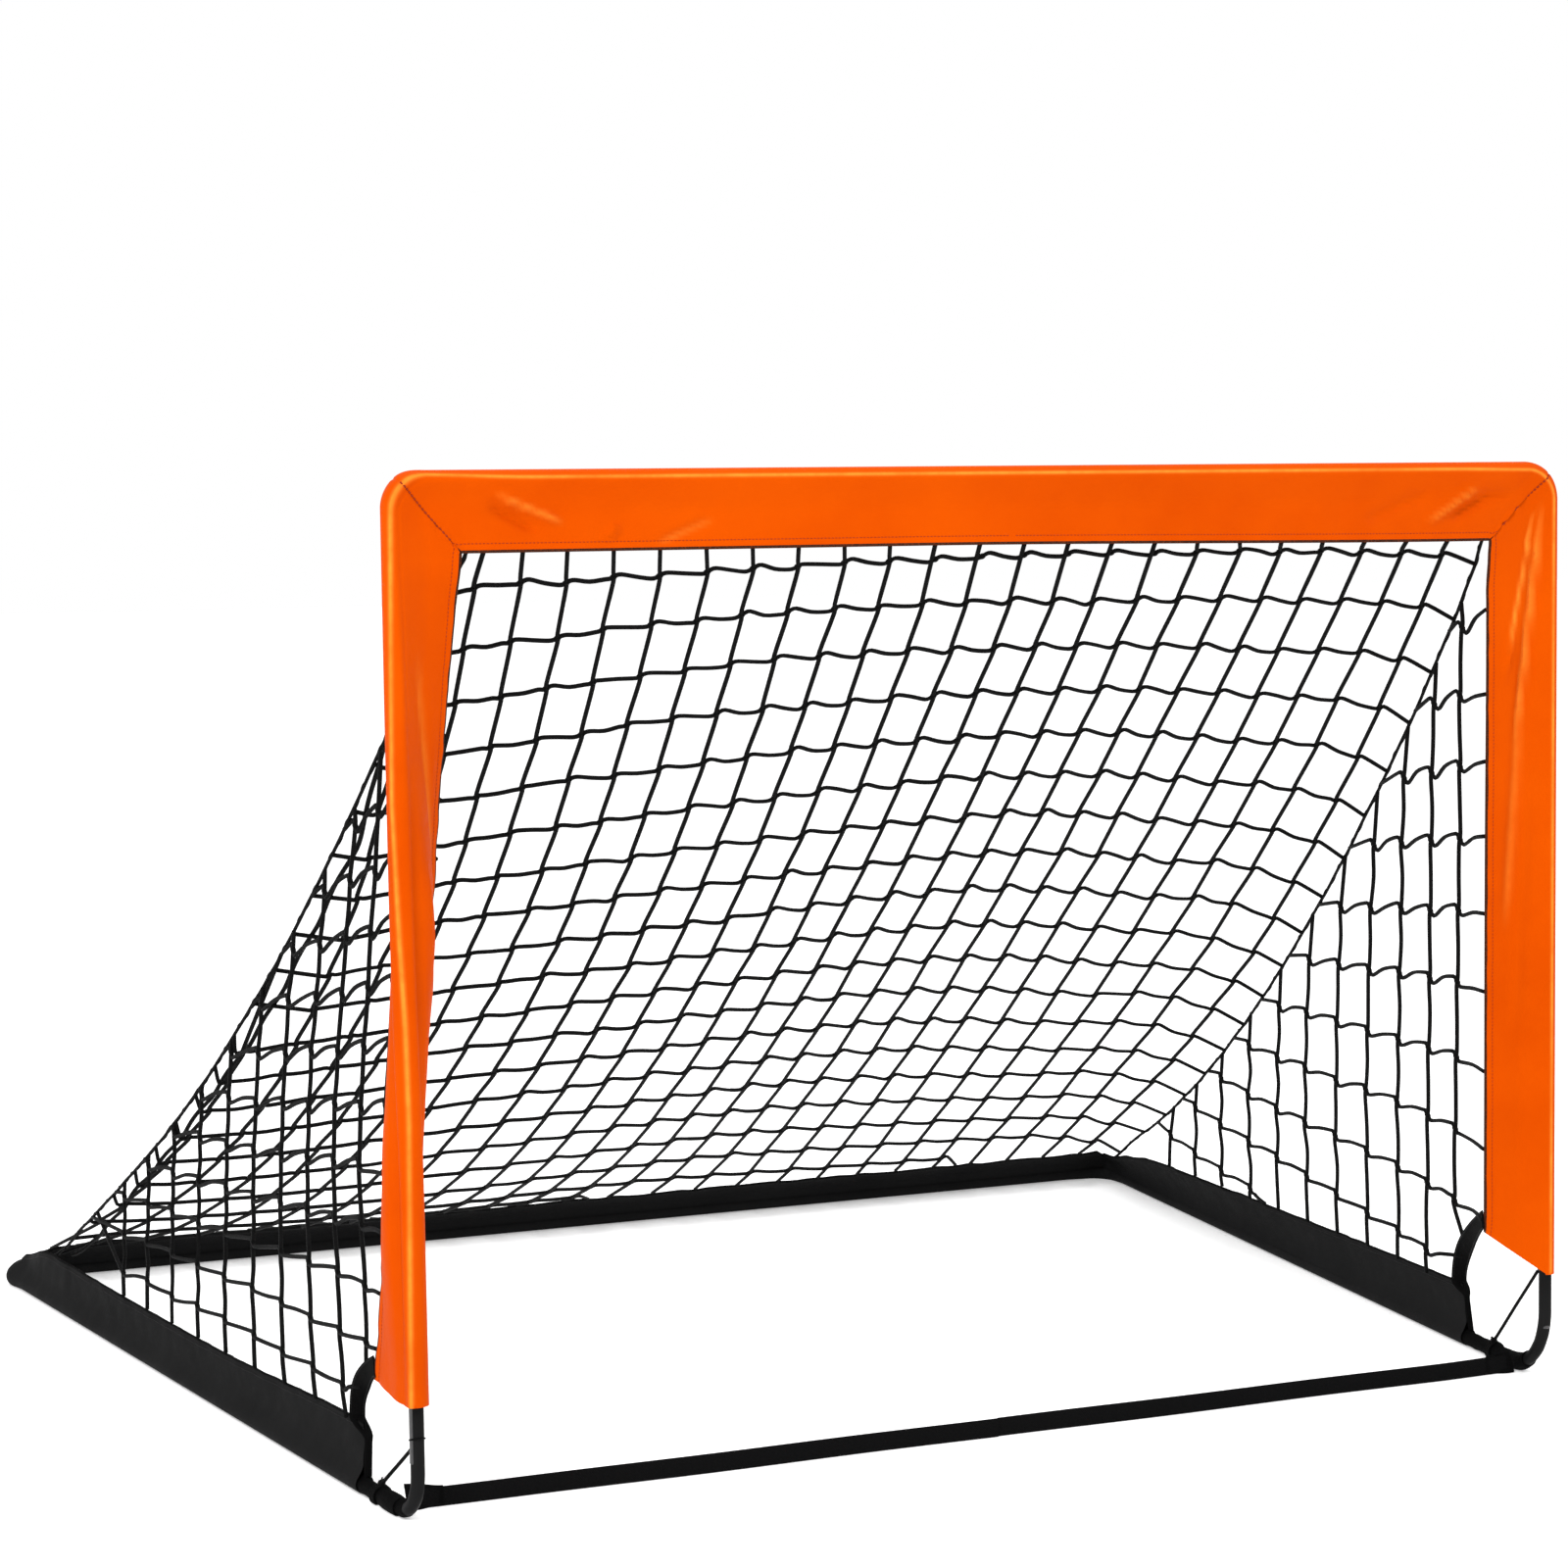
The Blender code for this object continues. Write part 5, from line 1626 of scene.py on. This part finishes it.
def build_cover(side):
    """Woven sheath on the elbow's foot, with the strap's end folded round it and sewn down.
    It starts part of the way up the bend."""
    d, inn = rail_dir(side), rail_in(side)
    sp = Soup()
    n = 28
    r_b = BEND_SEEN[side]
    c = rail_point(side, r_b, r_b)
    axis = [(c + r_b * (cos(q) * -d + sin(q) * np.array([0, 0, -1.0])), sin(q) * d + cos(q) * np.array([0, 0, -1.0]))
            for q in np.linspace(COVER_FROM[side] * pi / 2, pi / 2, 14)[:-1]]
    axis += [(rail_point(side, q), d) for q in np.linspace(r_b, CLOTH_FRONT[side] + 0.012, 40)]
    ss = arc_len([a[0] for a in axis])
    rings = []
    for (p0, t), s in zip(axis, ss):
        top = unit(np.cross(np.cross(d, (0, 0, 1.0)), t))
        lat = np.cross(t, top)
        along = (p0 - rail_point(side, 0)) @ d
        lump = 0.0011 * bump(along - STRAP_Y - 0.012, 0.016)
        ring = []
        for k in range(n):
            q = 2 * pi * k / n
            o = cos(q) * top + sin(q) * lat
            r = 0.0074 + lump + 0.00018 * sin(5 * q + s * 260) + 0.00022 * value_noise(s / 0.010, q / 1.1, 5)
            r -= 0.0006 * (1 - smooth(s / 0.010))
            if q < 0.4 or q > 2 * pi - 0.4:
                r += 0.0016 * smooth((0.4 - min(q, 2 * pi - q)) / 0.4)      # seam ridge along the top
            p = p0 + o * r
            p[2] = max(p[2], GROUND + 0.0002)
            ring.append(p)
        rings.append(ring)
    rings = np.array(rings)
    sp.grid(rings, 0, close_v=True)
    inner = rings[0] + (axis[0][0] - rings[0]) * 0.12
    sp.grid(np.array([rings[0], inner]), 0, close_v=True, flip=True)
    inner = rings[-1] + (axis[-1][0] - rings[-1]) * 0.12
    sp.grid(np.array([rings[-1], inner]), 0, close_v=True)
    # the strap's end: a wrap of tape round the sheath, wider than the strap
    w0, w1 = STRAP_Y - 0.012, STRAP_Y + 0.024

    def lift(s):
        # height of the tube's axis above the rail's while it still bends
        return r_b - sqrt(max(0.0, r_b ** 2 - max(0.0, r_b - s) ** 2))

    wrap = []
    for s in np.linspace(w0, w1, 12):
        e = bump((s - (w0 + w1) / 2) / (w1 - w0) * 2, 1.15)
        ring = []
        for q in np.linspace(0, 2 * pi, 28, endpoint=False):
            o = cos(q) * np.array([0, 0, 1.0]) + sin(q) * np.cross(d, (0, 0, 1.0))
            p = rail_point(side, s, lift(s)) + o * (0.0084 + 0.0012 * e + 0.0003 * value_noise(s / 0.006, q / 0.7, 9))
            p[2] = max(p[2], GROUND + 0.0002)
            ring.append(p)
        wrap.append(ring)
    wrap = np.array(wrap)
    sp.grid(wrap, 1, close_v=True)
    sp.grid(np.array([wrap[0], wrap[0] + (rail_point(side, w0, lift(w0)) - wrap[0]) * 0.15]), 1, close_v=True, flip=True)
    sp.grid(np.array([wrap[-1], wrap[-1] + (rail_point(side, w1, lift(w1)) - wrap[-1]) * 0.15]), 1, close_v=True)
    # gusset where the strap leaves the sheath: it widens to the wrap's width
    path, across, width = [], [], []
    for f in np.linspace(0, 1, 9):
        x = HALF_W - 0.0060 - 0.034 * f
        path.append([side * x, STRAP_Y + 0.006 - 0.0048 * f, GROUND + 0.0012 + STRAP_H / 2 + 0.0006 * (1 - f)])
        across.append([0, 0.55 * (1 - smooth(f * 1.2)) + 0.03, 1.0])
        width.append(STRAP_H + 0.007 * (1 - smooth(f)))
    tape(sp, path, across, np.array(width), 0.0026, 1)
    return sp.build("corner_sheath_" + TAG[side], [SHEATH, BINDING], sharp=60)


BAND_WIDE = 0.0205


def build_band(side):
    """Webbing edge of the side netting: it leaves the post's foot level, turns down and ends
    on the front of the ground sleeve, twisting a quarter turn on the way."""
    sp = Soup()
    f = np.linspace(0, 1, 44)
    pts = np.array([band_point(side, q) for q in f])
    z, lat = np.array([0, 0, 1.0]), np.array([-0.92, 0.39, 0.0])
    w = f
    t = units(np.gradient(pts, axis=0))
    across = np.cos(w * pi / 2)[:, None] * (z - t * t[:, 2:3]) + np.sin(w * pi / 2)[:, None] * lat
    # below the corner it thins out into the edging of the sleeve's front
    foot = rail_point(side, EDGING[side], 0.0105)
    head = side_tip(side, EDGING[side]) - np.array([0, 0, 0.001])
    down = []
    for q in np.linspace(0, 1, 19)[1:]:
        line = head + (foot - head) * q
        own = pts[43] + (foot - pts[43]) * q
        down.append(own + (line - own) * smooth(q / 0.27))
    down = np.array(down)
    back = pts[0] - unit(pts[1] - pts[0]) * 0.002
    pts = np.vstack([back, pts, down])
    across = np.vstack([across[:1], across, np.repeat(across[-1:], len(down), axis=0)])
    nor = np.cross(units(np.gradient(pts, axis=0)), units(across))
    low = {-1: 0.0150, 1: 0.0165}[side]
    width = np.full(len(pts), BAND_WIDE)
    width[1:45] = BAND_WIDE + (low - BAND_WIDE) * smooth((f - 0.35) / 0.55)
    width[45:] = EDGING_W[side] + (low - EDGING_W[side]) * (1 - smooth(np.linspace(0, 1, len(down)) / 0.27))
    tape(sp, pts, across, width, 0.0019, 0)
    for off in (-0.39, 0.39):
        line = pts[:45] + units(across[:45]) * (off * width[:45, None])
        for sgn in (1, -1):
            stitch_line(sp, line[1:-1] + nor[1:44] * 0.00085 * sgn, nor[1:44] * sgn, 0.0034, 0.0005, 1)
    return sp.build("web_band_tape_" + TAG[side], [BINDING, BLACK_THREAD], sharp=55)


STAY_HEAD = {-1: 0.0680, 1: 0.1080}
STAY_FOOT = {-1: 0.081, 1: 0.108}
STAY_R = 0.0018


def build_stay(side):
    """Stay cord in two meshes: the cord itself, and its loop and knot."""
    inn, d = rail_in(side), rail_dir(side)
    z0, s0 = STAY_HEAD[side], STAY_FOOT[side]
    a0 = np.array([side * (HALF_W - 0.0045), 0.0068, z0 - 0.002])
    b = rail_point(side, s0, 0.0102) + inn * 0.001
    mid = a0 + (b - a0) * 0.5 + np.array([0, 0.0012, -0.0010])
    path = catmull([a0, a0 + (b - a0) * 0.25 + np.array([0, 0.0008, -0.0008]), mid, a0 + (b - a0) * 0.78, b], 8)
    cord = Soup()
    cord.tube(path, STAY_R, n=10, mat=0)
    cord = cord.build("stay_cord_braid_" + TAG[side], [CORD])
    sp = Soup()
    # knot at its foot: two wraps and short frayed ends
    for k in range(3):
        ring = []
        for q in np.linspace(0, 2 * pi, 22):
            o = cos(q) * np.array([0, 0, 1.0]) + sin(q) * np.cross(d, (0, 0, 1.0))
            ring.append(rail_point(side, s0 - 0.004 + 0.0030 * k + 0.0012 * q / (2 * pi), 0.0) + o * (0.0090 + 0.0002 * k))
        ring = np.array(ring)
        ring[:, 2] = np.maximum(ring[:, 2], GROUND + 0.0014)
        sp.tube(ring, 0.0014, n=8, mat=0)
    sp.blob(b + np.array([0, 0, 0.0008]), (d * 0.0050, inn * 0.0036, np.array([0, 0, 0.0034])), 0, nu=10, nv=6)
    for k in range(2):
        e = b + np.array([0, 0, 0.002])
        tipv = unit(inn * (0.6 + 0.5 * jit(k, 1, side)) + d * (0.9 * jit(k, 2, side)) + np.array([0, 0, 0.55 + 0.5 * jit(k, 3, side)]))
        sp.tube(catmull([e, e + tipv * 0.003 + np.array([0, 0, 0.001]), e + tipv * 0.0052], 4), 0.0008, n=5, mat=0)
    # loop round the tube at its head
    ring = []
    for q in np.linspace(0, 2 * pi, 24):
        ring.append(np.array([side * (HALF_W - LEAN[side]) + 0.0070 * cos(q), 0.0070 * sin(q), z0 + 0.002 - 0.002 * sin(q)]))
    sp.tube(np.array(ring), 0.0009, n=8, mat=0)
    return cord, path, sp.build("stay_cord_knots_" + TAG[side], [CORD])


stay_path = {}
for side in (-1, 1):
    made["strap", side] = build_strap(side)
    made["cover", side] = build_cover(side)
    made["band", side] = build_band(side)
    made["stay", side], stay_path[side], made["knots", side] = build_stay(side)

# ------------------------------------------------------------------ stage and light
bpy.ops.mesh.primitive_plane_add(size=60, location=(0, 0, -0.0005))
floor = bpy.context.active_object
floor.name = "floor"
floor.data.materials.append(floor_material())

scene = bpy.context.scene
scene.view_settings.view_transform = "Standard"
scene.view_settings.look = "None"
scene.view_settings.exposure = 0.0
scene.view_settings.gamma = 1.0
world = bpy.data.worlds.new("studio")
scene.world = world
world.use_nodes = True
bg = world.node_tree.nodes["Background"]
bg.inputs[0].default_value = (1.0, 1.0, 1.0, 1)
bg.inputs[1].default_value = 1.0


def area(name, loc, target, size, power, colour=(1, 1, 1)):
    l = bpy.data.lights.new(name, "AREA")
    l.shape = "RECTANGLE"
    l.size, l.size_y = size
    l.energy = power
    l.color = colour
    o = bpy.data.objects.new(name, l)
    o.location = loc
    o.rotation_mode = "QUATERNION"
    o.rotation_quaternion = (Vector(target) - Vector(loc)).to_track_quat("-Z", "Y")
    scene.collection.objects.link(o)
    return o


area("key", (-3.4, -3.6, 4.0), (0, 0, 0.4), (1.6, 1.6), 210)
area("rim", (3.2, -1.6, 3.0), (0, 0, 0.6), (1.4, 1.4), 45)
area("top", (0.2, 0.6, 4.4), (0, 0, 0.2), (4.0, 4.0), 50)

# ------------------------------------------------------------------ bodies and nodes
FR = {-1: "left_frame", 1: "right_frame"}
BAR = {-1: "crossbar_left", 1: "crossbar_right"}
REAR = {-1: "rear_left", 1: "rear_right"}


def at(*p):
    return tuple(np.array(p, float) + SHIFT)


for side in (-1, 1):
    tag = TAG[side]
    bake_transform(made["post", side])
    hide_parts("post_sleeve_" + tag)
    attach(made["bar", side], BAR[side])
    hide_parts("crossbar_sleeve_" + tag)
    d = rail_dir(side)
    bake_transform(made["side", side])
    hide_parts("side_sleeve_" + tag)
    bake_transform(made["elbow_rear", side])
    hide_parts("elbow_rear_" + tag)
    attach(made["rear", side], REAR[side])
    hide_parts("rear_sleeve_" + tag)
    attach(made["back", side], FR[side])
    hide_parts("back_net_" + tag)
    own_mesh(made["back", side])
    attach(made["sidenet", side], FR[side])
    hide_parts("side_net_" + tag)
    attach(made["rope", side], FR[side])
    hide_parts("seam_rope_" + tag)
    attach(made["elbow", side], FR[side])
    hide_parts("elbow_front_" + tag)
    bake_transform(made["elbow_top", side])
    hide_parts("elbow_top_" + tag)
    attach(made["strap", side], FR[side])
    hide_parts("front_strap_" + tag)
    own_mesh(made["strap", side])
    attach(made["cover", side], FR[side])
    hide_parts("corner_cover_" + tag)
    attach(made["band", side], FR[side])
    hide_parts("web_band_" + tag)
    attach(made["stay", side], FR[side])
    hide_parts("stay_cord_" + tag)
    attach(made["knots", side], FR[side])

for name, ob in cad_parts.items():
    mat = None
    if "pole" in name:
        mat = ROD
    elif name.startswith("elbow") or name.startswith("coupler"):
        mat = RUBBER
    if mat is not None:
        for slot in ob.material_slots:
            slot.material = mat
